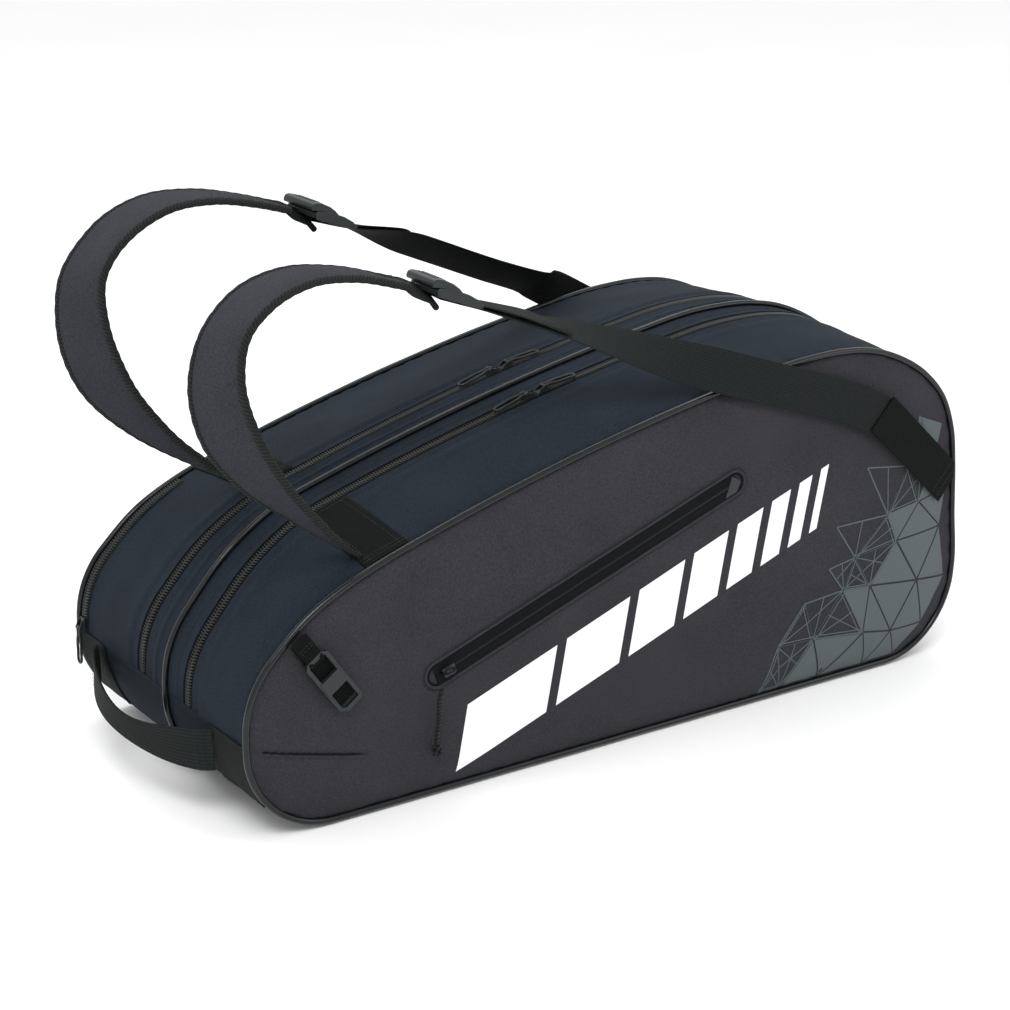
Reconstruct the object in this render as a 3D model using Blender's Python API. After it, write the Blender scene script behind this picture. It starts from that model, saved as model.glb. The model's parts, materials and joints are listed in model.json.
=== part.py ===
"""Racket tournament bag: a long soft bag with two main compartments, a side pocket, a front pocket,
two padded shoulder straps and a haul handle.

Frame: +X runs along the bag towards its tall end, -Y is the front panel, +Z is up, and the bag
stands on z = 0. The origin is on the flat underside, below the middle of the front panel.
All dimensions are in metres.
"""
import math

import bmesh
import bpy
from mathutils import Vector

# ---------------------------------------------------------------- driving dimensions
HALF_LENGTH = 0.380
HALF_WIDTH = 0.151
BASE_Z = 0.004
CORNER_RADIUS = 0.080
SEAM_Z = 0.086
SHOULDER_Z = 0.318

TOP_ARC_CENTRE = (0.5075, -2.0591)
TOP_ARC_RADIUS = 2.400
TOP_ARC_LEFT_X = -0.250
TOP_ARC_RIGHT_X = 0.150
TOP_ARC_STEPS = 10

NOSE_CENTRE = (-0.295, 0.095)
NOSE_RADIUS = 0.085
NOSE_END_DEG = 48.0

DOME = 0.015
TALL_END_DOME = 0.005
SOLE_DROP = BASE_Z

GAP = 0.0003
CLOTH = 0.0030
PIPING_RADIUS = 0.0035
CENTRE_PIPING_RADIUS = 0.0027

CENTRE_Y = -0.014
FRONT_ZIP_Y = -0.046
REAR_ZIP_Y = 0.024
NOSE_FAN = 0.21
SIDE_ZIP_Y = 0.138
ZIP_WIDTH = 0.010
ZIP_THICKNESS = 0.0026
SIDE_ZIP_END_X = -0.280
SIDE_ZIP_THICKNESS = 0.0012

PANEL_BACK = 0.145
PANEL_EDGE = 0.150
PANEL_CROWN = 0.008
PANEL_INSET = 0.0042
LINING_THICKNESS = 0.0015
POCKET_WALL_Y = 0.127
BOARD_HALF_LENGTH = 0.292
BOARD_HALF_WIDTH = 0.138
BOARD_THICKNESS = 0.0025

POCKET_ZIP_START = (-0.206, 0.111)
POCKET_ZIP_ANGLE = math.radians(19.5)
POCKET_ZIP_LENGTH = 0.326
POCKET_ZIP_WIDTH = 0.016
POCKET_ZIP_THICKNESS = 0.0020

SLIDER_LENGTH = 0.012
SLIDER_WIDTH = 0.0084
SLIDER_BASE = 0.0022
SLIDER_WALL = 0.0015
SLIDER_HEIGHT = 0.0050
PIVOT_FROM_END = 0.0030
PIVOT_HEIGHT = 0.0052
PULLER_LENGTH = 0.034
PULLER_WIDTH = 0.0085
PULLER_NECK = 0.0046
PULLER_THICKNESS = 0.0022
PULLER_RIM = 0.0015
PULLER_TILT = math.radians(7.0)
PULLER_WIDEN_FROM = 0.0054
PULLER_WIDEN_LENGTH = 0.006
SIDE_SLIDER_LIFT = 0.0024
SIDE_SLIDER_RISE = math.radians(-5.0)

HANDLE_WIDTH = 0.036
HANDLE_THICKNESS = 0.0030
HANDLE_ROOT_X = -0.3845
HANDLE_ROOT_Z = 0.066
HANDLE_FRONT_Y = -0.100
HANDLE_REAR_Y = 0.111
HANDLE_BULGE = 0.028
HANDLE_DROOP = 0.009
PATCH_THICKNESS = 0.0010

BAND_WIDTH = 0.040
BAND_THICKNESS = 0.0015
BAND_X = -0.246
FRONT_BAND_Y = (-0.147, -0.055)
REAR_BAND_Y = (0.040, 0.147)

WEBBING_WIDTH = 0.038
WEBBING_THICKNESS = 0.0020
PAD_WIDTH = 0.062
PAD_THICKNESS = 0.0070
PAD_TIP_WIDTH = 0.014
BUCKLE_WIDTH = 0.046
BUCKLE_BAR = 0.009
BUCKLE_SLOT = 0.0175
BUCKLE_RAIL = 0.004
BUCKLE_THICKNESS = 0.0042
BUCKLE_SETBACK = 0.002

CLIP_TOP = (-0.3245, 0.1550)
CLIP_ANGLE = math.radians(-54.0)
CLIP_LENGTH = 0.060
CLIP_WIDTH = 0.024
CLIP_BAR = 0.0036
CLIP_THICKNESS = 0.0036
CLIP_LIFT = 0.0028
TAB_WIDTH = 0.015
TAB_LENGTH = 0.024
TAB_THICKNESS = 0.0014

# ------------------------------------------------------------ strap routes, from the nose to the tall end
FRONT_PAD_ROUTE = [
    (-0.2745, -0.130, 0.2260), (-0.311, -0.128, 0.258), (-0.344, -0.123, 0.291), (-0.369, -0.117, 0.332),
    (-0.3755, -0.111, 0.376), (-0.364, -0.106, 0.4095), (-0.337, -0.104, 0.434), (-0.300, -0.104, 0.4455),
    (-0.260, -0.105, 0.443), (-0.2085, -0.107, 0.429),
]
FRONT_WEBBING_ROUTE = [
    (-0.180, -0.109, 0.4155), (-0.145, -0.111, 0.4035), (-0.108, -0.114, 0.3905), (-0.0615, -0.120, 0.3745),
    (-0.001, -0.130, 0.3515), (0.048, -0.142, 0.334), (0.091, -0.158, 0.321), (0.136, -0.163, 0.3055),
    (0.192, -0.163, 0.286), (0.252, -0.163, 0.2615), (0.275, -0.163, 0.248), (0.316, -0.161, 0.2115),
    (0.362, -0.158, 0.1705),
]
# share of a quarter turn, and the x at which the twist starts and ends
FRONT_TURNS = ((1.0, -0.060, 0.100),)
REAR_PAD_ROUTE = [
    (-0.276, 0.042, 0.2340), (-0.309, 0.050, 0.254), (-0.352, 0.058, 0.288), (-0.387, 0.065, 0.332),
    (-0.401, 0.070, 0.382), (-0.397, 0.073, 0.421), (-0.373, 0.075, 0.451), (-0.330, 0.077, 0.4715),
    (-0.285, 0.0775, 0.473), (-0.244, 0.078, 0.465), (-0.211, 0.079, 0.4555),
]
REAR_WEBBING_ROUTE = [
    (-0.186, 0.080, 0.4430), (-0.148, 0.083, 0.4315), (-0.100, 0.087, 0.414), (-0.045, 0.094, 0.3925),
    (0.034, 0.108, 0.3605), (0.080, 0.125, 0.342), (0.115, 0.1485, 0.3275), (0.150, 0.162, 0.310),
    (0.192, 0.164, 0.287), (0.252, 0.164, 0.2615), (0.275, 0.163, 0.248), (0.316, 0.161, 0.2115),
    (0.362, 0.158, 0.1705),
]
REAR_TURNS = ((0.42, -0.160, -0.070), (1.0, 0.027, 0.170))
SLIDER_PAIRS = (("front", FRONT_ZIP_Y, -0.030), ("rear", REAR_ZIP_Y, -0.020))
SLIDER_SPREAD = 0.0125

CORD_DIAMETER = 0.0040
KNOT_RADIUS = 0.0048
CORD_ROUTE = [
    (-0.2075, -0.1672, 0.1030), (-0.2090, -0.1685, 0.0990), (-0.2098, -0.1680, 0.0940),
    (-0.2097, -0.1665, 0.0880), (-0.2090, -0.1655, 0.0810), (-0.2087, -0.1650, 0.0740),
    (-0.2093, -0.1646, 0.0670), (-0.2101, -0.1643, 0.0600), (-0.2106, -0.1641, 0.0530),
]

COLOURS = {
    "navy_fabric": (0.014, 0.021, 0.032, 0.85),
    "charcoal_fabric": (0.040, 0.038, 0.045, 0.80),
    "black_webbing": (0.010, 0.011, 0.011, 0.75),
    "black_zip": (0.012, 0.014, 0.014, 0.60),
    "glossy_piping": (0.020, 0.026, 0.028, 0.30),
    "lining_fabric": (0.050, 0.052, 0.056, 0.85),
    "black_plastic": (0.020, 0.024, 0.026, 0.42),
    "stiff_board": (0.030, 0.030, 0.030, 0.70),
}


# ---------------------------------------------------------------- scene helpers
def clear_scene():
    for item in list(bpy.data.objects):
        bpy.data.objects.remove(item, do_unlink=True)


def material(name):
    found = bpy.data.materials.get(name)
    if found:
        return found
    red, green, blue, roughness = COLOURS[name]
    made = bpy.data.materials.new(name)
    made.use_nodes = True
    shader = made.node_tree.nodes["Principled BSDF"]
    shader.inputs["Base Color"].default_value = (red, green, blue, 1.0)
    shader.inputs["Roughness"].default_value = roughness
    made.diffuse_color = (red, green, blue, 1.0)
    return made


def add_object(name, build, slot, origin=(0.0, 0.0, 0.0)):
    """Turn a bmesh in bag coordinates into an object whose own origin is at `origin`."""
    origin = Vector(origin)
    bmesh.ops.translate(build, verts=build.verts, vec=-origin)
    bmesh.ops.recalc_face_normals(build, faces=build.faces)
    mesh = bpy.data.meshes.new(name)
    build.to_mesh(mesh)
    build.free()
    mesh.materials.append(material(slot))
    made = bpy.data.objects.new(name, mesh)
    made.location = origin
    bpy.context.scene.collection.objects.link(made)
    return made


def loft(sections, ring=False):
    """Skin a row of closed sections; a ring joins the last to the first, otherwise both ends are capped."""
    build = bmesh.new()
    rows = [[build.verts.new(point) for point in section] for section in sections]
    count = len(rows[0])
    last = len(rows) if ring else len(rows) - 1
    for i in range(last):
        here = rows[i]
        after = rows[(i + 1) % len(rows)]
        for j in range(count):
            k = (j + 1) % count
            build.faces.new((here[j], here[k], after[k], after[j]))
    if not ring:
        build.faces.new(list(reversed(rows[0])))
        build.faces.new(rows[-1])
    return build


def cells(xs, ys, filled, low, high, place):
    """A flat plate made of the filled cells of a grid; `place` turns local into bag coordinates."""
    build = bmesh.new()
    corner = {}

    def vert(i, j, k):
        if (i, j, k) not in corner:
            corner[(i, j, k)] = build.verts.new(place(xs[i], ys[j], high if k else low))
        return corner[(i, j, k)]

    for i, j in filled:
        build.faces.new([vert(i, j, 0), vert(i, j + 1, 0), vert(i + 1, j + 1, 0), vert(i + 1, j, 0)])
        build.faces.new([vert(i, j, 1), vert(i + 1, j, 1), vert(i + 1, j + 1, 1), vert(i, j + 1, 1)])
        sides = [((i, j), (i + 1, j), (i, j - 1)), ((i + 1, j), (i + 1, j + 1), (i + 1, j)),
                 ((i + 1, j + 1), (i, j + 1), (i, j + 1)), ((i, j + 1), (i, j), (i - 1, j))]
        for start, end, neighbour in sides:
            if neighbour not in filled:
                build.faces.new([vert(*start, 0), vert(*end, 0), vert(*end, 1), vert(*start, 1)])
    return build


def smooth_route(points, steps):
    """Catmull-Rom curve through the points, with `steps` samples to each stretch."""
    knots = [Vector(p) for p in points]
    knots = [knots[0] * 2 - knots[1]] + knots + [knots[-1] * 2 - knots[-2]]
    route = []
    for i in range(1, len(knots) - 2):
        a, b, c, d = knots[i - 1:i + 3]
        for j in range(steps):
            t = j / steps
            route.append(0.5 * (2 * b + (c - a) * t + (2 * a - 5 * b + 4 * c - d) * t * t
                                + (3 * b - a - 3 * c + d) * t ** 3))
    route.append(knots[-2])
    return route


def ease(value, low, high):
    t = min(1.0, max(0.0, (value - low) / (high - low)))
    return t * t * (3.0 - 2.0 * t)


# ---------------------------------------------------------------- the bag's outline in the XZ plane
def arc(centre, radius, start_deg, end_deg, steps):
    """Points on an arc, with angles measured clockwise from the -X direction."""
    points = []
    for i in range(steps + 1):
        angle = math.radians(start_deg + (end_deg - start_deg) * i / steps)
        points.append((centre[0] - radius * math.cos(angle), centre[1] + radius * math.sin(angle)))
    return points


def outline():
    """Clockwise outline seen from the front, from the lower nose over the top to the lower tall end."""
    low_left = (-HALF_LENGTH + CORNER_RADIUS, BASE_Z + CORNER_RADIUS)
    low_right = (HALF_LENGTH - CORNER_RADIUS, BASE_Z + CORNER_RADIUS)
    points = arc(low_left, CORNER_RADIUS, -90.0, -12.0, 7)
    points.append((-HALF_LENGTH, SEAM_Z))
    points += arc(NOSE_CENTRE, NOSE_RADIUS, 3.0, NOSE_END_DEG, 6)
    points += [(-0.322, 0.1845), (-0.285, 0.2045)]
    for i in range(TOP_ARC_STEPS + 1):
        x = TOP_ARC_LEFT_X + (TOP_ARC_RIGHT_X - TOP_ARC_LEFT_X) * i / TOP_ARC_STEPS
        z = TOP_ARC_CENTRE[1] + math.sqrt(TOP_ARC_RADIUS ** 2 - (x - TOP_ARC_CENTRE[0]) ** 2)
        points.append((x, z))
    points += [(0.190, SHOULDER_Z - 0.0005), (0.225, SHOULDER_Z), (0.259, 0.3140), (0.295, 0.3015)]
    points += [(0.328, 0.2815), (0.353, 0.2550), (0.366, 0.2240), (0.3715, 0.1900), (0.3755, 0.1400)]
    points.append((HALF_LENGTH, SEAM_Z))
    points += arc(low_right, CORNER_RADIUS, 192.0, 270.0, 7)
    return points


def normals(points):
    """Outward unit normal at each outline point."""
    count = len(points)
    result = []
    for i in range(count):
        before = Vector(points[i - 1])
        after = Vector(points[(i + 1) % count])
        along = (after - before).normalized()
        result.append(Vector((-along.y, along.x)))
    return result


OUTLINE = outline()
NORMALS = normals(OUTLINE)
LEFT_SEAM = 8
RIGHT_SEAM = len(OUTLINE) - 9


def dome(x, z, y):
    """How far the gusset stands out from the panel outline at a station."""
    rise = DOME * ease(x, -0.378, TOP_ARC_LEFT_X)
    rise += (TALL_END_DOME - DOME) * ease(x, TOP_ARC_RIGHT_X, 0.360)
    rise *= ease(z, SEAM_Z - 0.040, SEAM_Z + 0.040)
    return rise * (1.0 - (y / HALF_WIDTH) ** 2)


def sole(z):
    """How far the bottom strip drops below the outline, to give the flat underside."""
    return SOLE_DROP * (1.0 - ease(z, BASE_Z + 0.001, 0.060))


def skin(station, y, lift):
    """Point on the gusset surface; a station is an outline point with its normal."""
    x, z, normal = station
    out = dome(x, z, y) + lift
    fan = NOSE_FAN * (1.0 - ease(x, -0.372, TOP_ARC_LEFT_X)) * (1.0 - (y / HALF_WIDTH) ** 2) ** 2
    return Vector((x + normal.x * out, y * (1.0 + fan), z + normal.y * out))


def stations(first, last, trim=0.0):
    """Outline stations between two indices, with both ends drawn back by `trim`."""
    if last < first:
        last += len(OUTLINE)
    picked = [i % len(OUTLINE) for i in range(first, last + 1)]
    rows = [[OUTLINE[i][0], OUTLINE[i][1], NORMALS[i]] for i in picked]
    for end, inner in ((0, 1), (-1, -2)):
        step = Vector((rows[inner][0] - rows[end][0], rows[inner][1] - rows[end][1])).normalized() * trim
        rows[end][0] += step.x
        rows[end][1] += step.y
    return rows


def station_at(x):
    """The station on the upper outline at a given x."""
    for i in range(LEFT_SEAM + 4, RIGHT_SEAM):
        left, right = OUTLINE[i], OUTLINE[i + 1]
        if left[0] <= x <= right[0]:
            t = (x - left[0]) / (right[0] - left[0])
            normal = NORMALS[i].lerp(NORMALS[i + 1], t).normalized()
            return [x, left[1] + (right[1] - left[1]) * t, normal]
    raise ValueError("x is outside the upper outline")


def strip(rows, y_from, y_to, low, high, columns=2, drop=None):
    """A ribbon along the gusset between two y values and two lifts."""
    ys = [y_from + (y_to - y_from) * i / columns for i in range(columns + 1)]
    sections = []
    for row in rows:
        extra = drop(row[1]) if drop else 0.0
        top = [skin(row, y, high + extra) for y in ys]
        under = [skin(row, y, low + extra) for y in reversed(ys)]
        sections.append(top + under)
    return loft(sections)


def tube(centres, across, radius, sides=6, ring=False):
    """A tube along `centres`; `across` gives one vector square to the run at each centre."""
    sections = []
    count = len(centres)
    for i, centre in enumerate(centres):
        if ring:
            run = centres[(i + 1) % count] - centres[i - 1]
        else:
            run = centres[min(i + 1, count - 1)] - centres[max(i - 1, 0)]
        run.normalize()
        side = (across[i] - run * across[i].dot(run)).normalized()
        up = run.cross(side)
        sections.append([centre + (side * math.cos(2 * math.pi * k / sides)
                                   + up * math.sin(2 * math.pi * k / sides)) * radius for k in range(sides)])
    return loft(sections, ring)


def inset_outline(inset):
    return [(p[0] - n.x * inset, p[1] - n.y * inset) for p, n in zip(OUTLINE, NORMALS)]


def sheet(y_from, y_to, inset, domed=False):
    """A flat sheet with the outline's shape between two y values."""
    sections = []
    for y in (y_from, y_to):
        row = []
        for (x, z), normal in zip(OUTLINE, NORMALS):
            out = (dome(x, z, y) if domed else 0.0) - inset
            row.append(Vector((x + normal.x * out, y, z + normal.y * out)))
        sections.append(row)
    return loft(sections)


# ---------------------------------------------------------------- joints' reference points
FRONT_HINGE = (0.0, -HALF_WIDTH, BASE_Z)
REAR_HINGE = (0.0, HALF_WIDTH, BASE_Z)
HANDLE_HINGE = (HANDLE_ROOT_X, 0.0, HANDLE_ROOT_Z + HANDLE_WIDTH / 2)
TOP_TRACK = (TOP_ARC_CENTRE[0], 0.0, TOP_ARC_CENTRE[1])
NOSE_TRACK = (NOSE_CENTRE[0], SIDE_ZIP_Y, NOSE_CENTRE[1])


# ---------------------------------------------------------------- shell
def make_shell():
    sole_rows = stations(RIGHT_SEAM, LEFT_SEAM, GAP / 2)
    inner = HALF_WIDTH - PIPING_RADIUS - GAP
    add_object("bottom_strip", strip(sole_rows, -inner, inner, -CLOTH, 0.0, drop=sole), "navy_fabric")
    add_object("base_board", board(), "stiff_board")
    top_rows = stations(LEFT_SEAM, RIGHT_SEAM, GAP / 2)
    half_zip = ZIP_WIDTH / 2
    add_object("centre_gusset", strip(top_rows, FRONT_ZIP_Y + half_zip + GAP, REAR_ZIP_Y - half_zip - GAP,
                                      -CLOTH, 0.0), "navy_fabric")
    for name, y in (("front_zip", FRONT_ZIP_Y), ("rear_zip", REAR_ZIP_Y)):
        add_object(name, strip(top_rows, y - half_zip, y + half_zip, -ZIP_THICKNESS, 0.0, 1), "black_zip")
    add_object("front_gusset", strip(top_rows, -inner, FRONT_ZIP_Y - half_zip - GAP, -CLOTH, 0.0),
               "navy_fabric", FRONT_HINGE)
    add_object("rear_gusset", strip(top_rows, REAR_ZIP_Y + half_zip + GAP, inner, -CLOTH, 0.0),
               "navy_fabric", REAR_HINGE)
    side_rows = [row for row in top_rows if row[0] < SIDE_ZIP_END_X]
    add_object("side_zip", strip(side_rows, SIDE_ZIP_Y - half_zip, SIDE_ZIP_Y + half_zip,
                                 GAP, GAP + SIDE_ZIP_THICKNESS, 1), "black_zip", REAR_HINGE)


def board():
    """Stiffener on the floor of the bag, with its ends stopping short of the corner curves."""
    low = CLOTH + GAP
    xs = (-BOARD_HALF_LENGTH, BOARD_HALF_LENGTH)
    ys = (-BOARD_HALF_WIDTH, BOARD_HALF_WIDTH)
    return cells(xs, ys, {(0, 0)}, low, low + BOARD_THICKNESS, lambda x, y, z: Vector((x, y, z)))


def make_piping():
    for name, y, origin in (("front_piping", -HALF_WIDTH, FRONT_HINGE),
                            ("rear_piping", HALF_WIDTH, REAR_HINGE)):
        centres = [Vector((x, y, z)) for x, z in OUTLINE]
        across = [Vector((0.0, 1.0, 0.0))] * len(centres)
        add_object(name, tube(centres, across, PIPING_RADIUS, ring=True), "glossy_piping", origin)
    rows = stations(LEFT_SEAM - 4, RIGHT_SEAM + 4)
    lift = CENTRE_PIPING_RADIUS + GAP
    centres = [skin(row, CENTRE_Y, lift + sole(row[1])) for row in rows]
    across = [Vector((0.0, 1.0, 0.0))] * len(centres)
    add_object("centre_piping", tube(centres, across, CENTRE_PIPING_RADIUS), "glossy_piping")


def panel(side):
    """A crowned panel: square edge, a rise of the crown, and a flat middle."""
    rings = []
    edge = inset_outline(PANEL_INSET)
    centre = Vector((0.020, 0.150))
    profile = [(1.0, PANEL_BACK), (1.0, PANEL_EDGE), (0.965, PANEL_EDGE + 0.45 * PANEL_CROWN),
               (0.90, PANEL_EDGE + 0.80 * PANEL_CROWN), (0.80, PANEL_EDGE + PANEL_CROWN)]
    for scale, depth in profile:
        rings.append([Vector((centre.x + (x - centre.x) * scale, side * depth,
                              centre.y + (z - centre.y) * scale)) for x, z in edge])
    return loft(rings)


def make_panels():
    add_object("front_panel", panel(-1.0), "charcoal_fabric", FRONT_HINGE)
    add_object("rear_panel", panel(1.0), "charcoal_fabric", REAR_HINGE)
    lining_y = PANEL_BACK - GAP
    inset = PANEL_INSET + 0.002
    add_object("front_lining", sheet(-lining_y, -lining_y + LINING_THICKNESS, inset), "lining_fabric",
               FRONT_HINGE)
    add_object("pocket_wall", sheet(POCKET_WALL_Y, POCKET_WALL_Y + LINING_THICKNESS, inset),
               "lining_fabric", REAR_HINGE)
    half = LINING_THICKNESS / 2
    divider_inset = CLOTH + GAP
    add_object("divider", sheet(CENTRE_Y - half, CENTRE_Y + half, divider_inset, True), "lining_fabric")


# ---------------------------------------------------------------- zip sliders and pullers
def slider_build(base, along, out):
    """A U-shaped slider whose walls hold the puller's neck; `base` is its outer end on the zip."""
    side = along.cross(out)
    half = SLIDER_WIDTH / 2
    hollow = half - SLIDER_WALL
    shape = [(-half, 0.0), (half, 0.0), (half, SLIDER_HEIGHT), (hollow, SLIDER_HEIGHT),
             (hollow, SLIDER_BASE), (-hollow, SLIDER_BASE), (-hollow, SLIDER_HEIGHT), (-half, SLIDER_HEIGHT)]
    sections = []
    for reach in (0.0, -SLIDER_LENGTH):
        sections.append([base + along * reach + side * w + out * h for w, h in shape])
    return loft(sections)


def puller_build(pivot, along, out):
    """A long slotted puller: a closed band that runs from a narrow neck to a wide round end."""
    side = along.cross(out)
    neck = PULLER_NECK / 2
    wide = PULLER_WIDTH / 2
    widened = PULLER_WIDEN_FROM + PULLER_WIDEN_LENGTH
    round_from = PULLER_LENGTH - wide
    round_mid = PULLER_LENGTH - wide * 0.3
    upper = [(-neck * 0.7, neck * 0.7), (PULLER_WIDEN_FROM, neck), (widened, wide), (round_from, wide),
             (round_mid, wide * 0.7)]
    lower = [(x, -y) for x, y in reversed(upper)]
    loop = [(-neck, 0.0)] + upper + [(PULLER_LENGTH, 0.0)] + lower
    half = PULLER_THICKNESS / 2
    sections = []
    for x, y in loop:
        inner_x = min(max(x, -neck + PULLER_RIM), PULLER_LENGTH - PULLER_RIM)
        inner_y = math.copysign(max(abs(y) - PULLER_RIM, 0.0), y)
        corners = ((x, y, -half), (x, y, half), (inner_x, inner_y, half), (inner_x, inner_y, -half))
        sections.append([pivot + along * u + side * v + out * h for u, v, h in corners])
    return loft(sections, ring=True)


def tilted(along, out, angle):
    """The puller's own directions, tipped towards the surface by `angle`."""
    lying = along * math.cos(angle) - out * math.sin(angle)
    return lying, (out * math.cos(angle) + along * math.sin(angle))


def add_slider(prefix, y, station, facing, tilt, track):
    """A slider with its puller; `facing` is +1 when the puller points towards the tall end."""
    x, z, normal = station
    out = Vector((normal.x, 0.0, normal.y))
    along = Vector((normal.y, 0.0, -normal.x)) * facing
    lift = SIDE_SLIDER_LIFT if prefix == "side" else GAP
    base = skin(station, y, lift)
    pivot = base - along * PIVOT_FROM_END + out * PIVOT_HEIGHT
    end = "" if prefix == "side" else {-1: "_left", 1: "_right"}[facing]
    add_object(prefix + "_slider" + end, slider_build(base, along, out), "black_plastic", track)
    lying, up = tilted(along, out, tilt)
    add_object(prefix + "_puller" + end, puller_build(pivot, lying, up), "black_plastic", pivot)


def make_sliders():
    for prefix, y, middle in SLIDER_PAIRS:
        for facing in (-1, 1):
            track = (TOP_TRACK[0], y, TOP_TRACK[2])
            add_slider(prefix, y, station_at(middle + facing * SLIDER_SPREAD), facing, PULLER_TILT, track)
    station = [NOSE_CENTRE[0] - NOSE_RADIUS * math.cos(SIDE_SLIDER_RISE),
               NOSE_CENTRE[1] + NOSE_RADIUS * math.sin(SIDE_SLIDER_RISE), Vector((-1.0, 0.0))]
    add_slider("side", SIDE_ZIP_Y, station, -1, 0.0, NOSE_TRACK)


# ---------------------------------------------------------------- front pocket
def pocket_place(u, v, w):
    """Local (along the zip, across it, out of the panel) to bag coordinates."""
    along = Vector((math.cos(POCKET_ZIP_ANGLE), 0.0, math.sin(POCKET_ZIP_ANGLE)))
    across = Vector((-math.sin(POCKET_ZIP_ANGLE), 0.0, math.cos(POCKET_ZIP_ANGLE)))
    start = Vector((POCKET_ZIP_START[0], -PANEL_EDGE - PANEL_CROWN, POCKET_ZIP_START[1]))
    return start + along * u + across * v + Vector((0.0, -w, 0.0))


def make_pocket():
    half = POCKET_ZIP_WIDTH / 2
    surface = GAP + POCKET_ZIP_THICKNESS
    tape = cells((0.0, POCKET_ZIP_LENGTH), (-half, half), {(0, 0)}, GAP, surface, pocket_place)
    add_object("pocket_zip", tape, "black_zip", FRONT_HINGE)
    low = PANEL_BACK - GAP - LINING_THICKNESS - GAP
    corners = [(-0.205, 0.020), (-0.205, 0.118), (0.110, 0.228), (0.110, 0.040)]
    sections = [[Vector((x, -y, z)) for x, z in corners] for y in (low, low - LINING_THICKNESS)]
    add_object("pocket_pouch", loft(sections), "lining_fabric", FRONT_HINGE)
    base = pocket_place(0.004, 0.0, surface + GAP)
    along = (pocket_place(-1.0, 0.0, 0.0) - pocket_place(0.0, 0.0, 0.0)).normalized()
    add_object("pocket_slider", slider_build(base, along, Vector((0.0, -1.0, 0.0))), "black_plastic", base)
    route = bpy.data.curves.new("pocket_cord", "CURVE")
    route.dimensions = "3D"
    route.bevel_depth = CORD_DIAMETER / 2
    route.bevel_resolution = 2
    route.use_fill_caps = True
    spline = route.splines.new("POLY")
    points = smooth_route(CORD_ROUTE, 2)
    spline.points.add(len(points) - 1)
    for target, point in zip(spline.points, points):
        target.co = (*(point - Vector(base)), 1.0)
    route.materials.append(material("black_webbing"))
    cord = bpy.data.objects.new("pocket_cord", route)
    cord.location = base
    bpy.context.scene.collection.objects.link(cord)
    end = points[-1] - Vector((0.0, 0.0, KNOT_RADIUS * 1.2 + GAP))
    knot = bmesh.new()
    bmesh.ops.create_icosphere(knot, subdivisions=1, radius=KNOT_RADIUS)
    bmesh.ops.scale(knot, verts=knot.verts, vec=(0.9, 0.9, 1.15))
    bmesh.ops.translate(knot, verts=knot.verts, vec=end)
    add_object("cord_knot", knot, "black_webbing", base)


# ---------------------------------------------------------------- haul handle
def handle_station(t):
    swing = math.sin(math.pi * t)
    bulge = HANDLE_BULGE * swing ** 0.75
    y = HANDLE_REAR_Y + (HANDLE_FRONT_Y - HANDLE_REAR_Y) * t
    return Vector((HANDLE_ROOT_X - bulge, y, HANDLE_ROOT_Z - HANDLE_DROOP * swing))


def make_handle():
    steps = 16
    stops = [handle_station(0.5 - 0.5 * math.cos(math.pi * i / steps)) for i in range(steps + 1)]
    sections = []
    for i, centre in enumerate(stops):
        run = (stops[min(i + 1, steps)] - stops[max(i - 1, 0)]).normalized()
        up = Vector((0.0, 0.0, 1.0))
        up = (up - run * up.dot(run)).normalized()
        out = run.cross(up)
        sections.append([centre + up * a * HANDLE_WIDTH / 2 + out * b * HANDLE_THICKNESS / 2
                         for a, b in ((-1, -1), (1, -1), (1, 1), (-1, 1))])
    add_object("haul_handle", loft(sections), "black_webbing", HANDLE_HINGE)
    edge = HALF_WIDTH - PIPING_RADIUS - 2 * GAP
    rows = [row for row in stations(RIGHT_SEAM, LEFT_SEAM, 0.002) if row[0] < -0.35 and row[1] > 0.03]
    for name, y_from, y_to in (("handle_patch_front", -edge, HANDLE_FRONT_Y - 0.004),
                               ("handle_patch_rear", HANDLE_REAR_Y + 0.004, edge)):
        add_object(name, strip(rows, y_from, y_to, GAP, GAP + PATCH_THICKNESS, 1, sole), "black_webbing")


# ---------------------------------------------------------------- shoulder straps
def ribbon(route, widths, hints, thickness):
    """A flat strap along a route, with a width and a width direction at each point."""
    sections = []
    last = len(route) - 1
    for i, centre in enumerate(route):
        run = (route[min(i + 1, last)] - route[max(i - 1, 0)]).normalized()
        wide = (hints[i] - run * hints[i].dot(run)).normalized()
        thick = run.cross(wide)
        sections.append([centre + wide * a * widths[i] / 2 + thick * b * thickness / 2
                         for a, b in ((-1, -1), (1, -1), (1, 1), (-1, 1))])
    return loft(sections)


def pad_width(t):
    """Width along the pad, from its pointed lower tip to the buckle end."""
    rise = ease(t, -0.05, 0.42)
    fall = 1.0 - 0.42 * ease(t, 0.62, 1.0)
    return (PAD_TIP_WIDTH + (PAD_WIDTH - PAD_TIP_WIDTH) * rise) * fall


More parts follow.
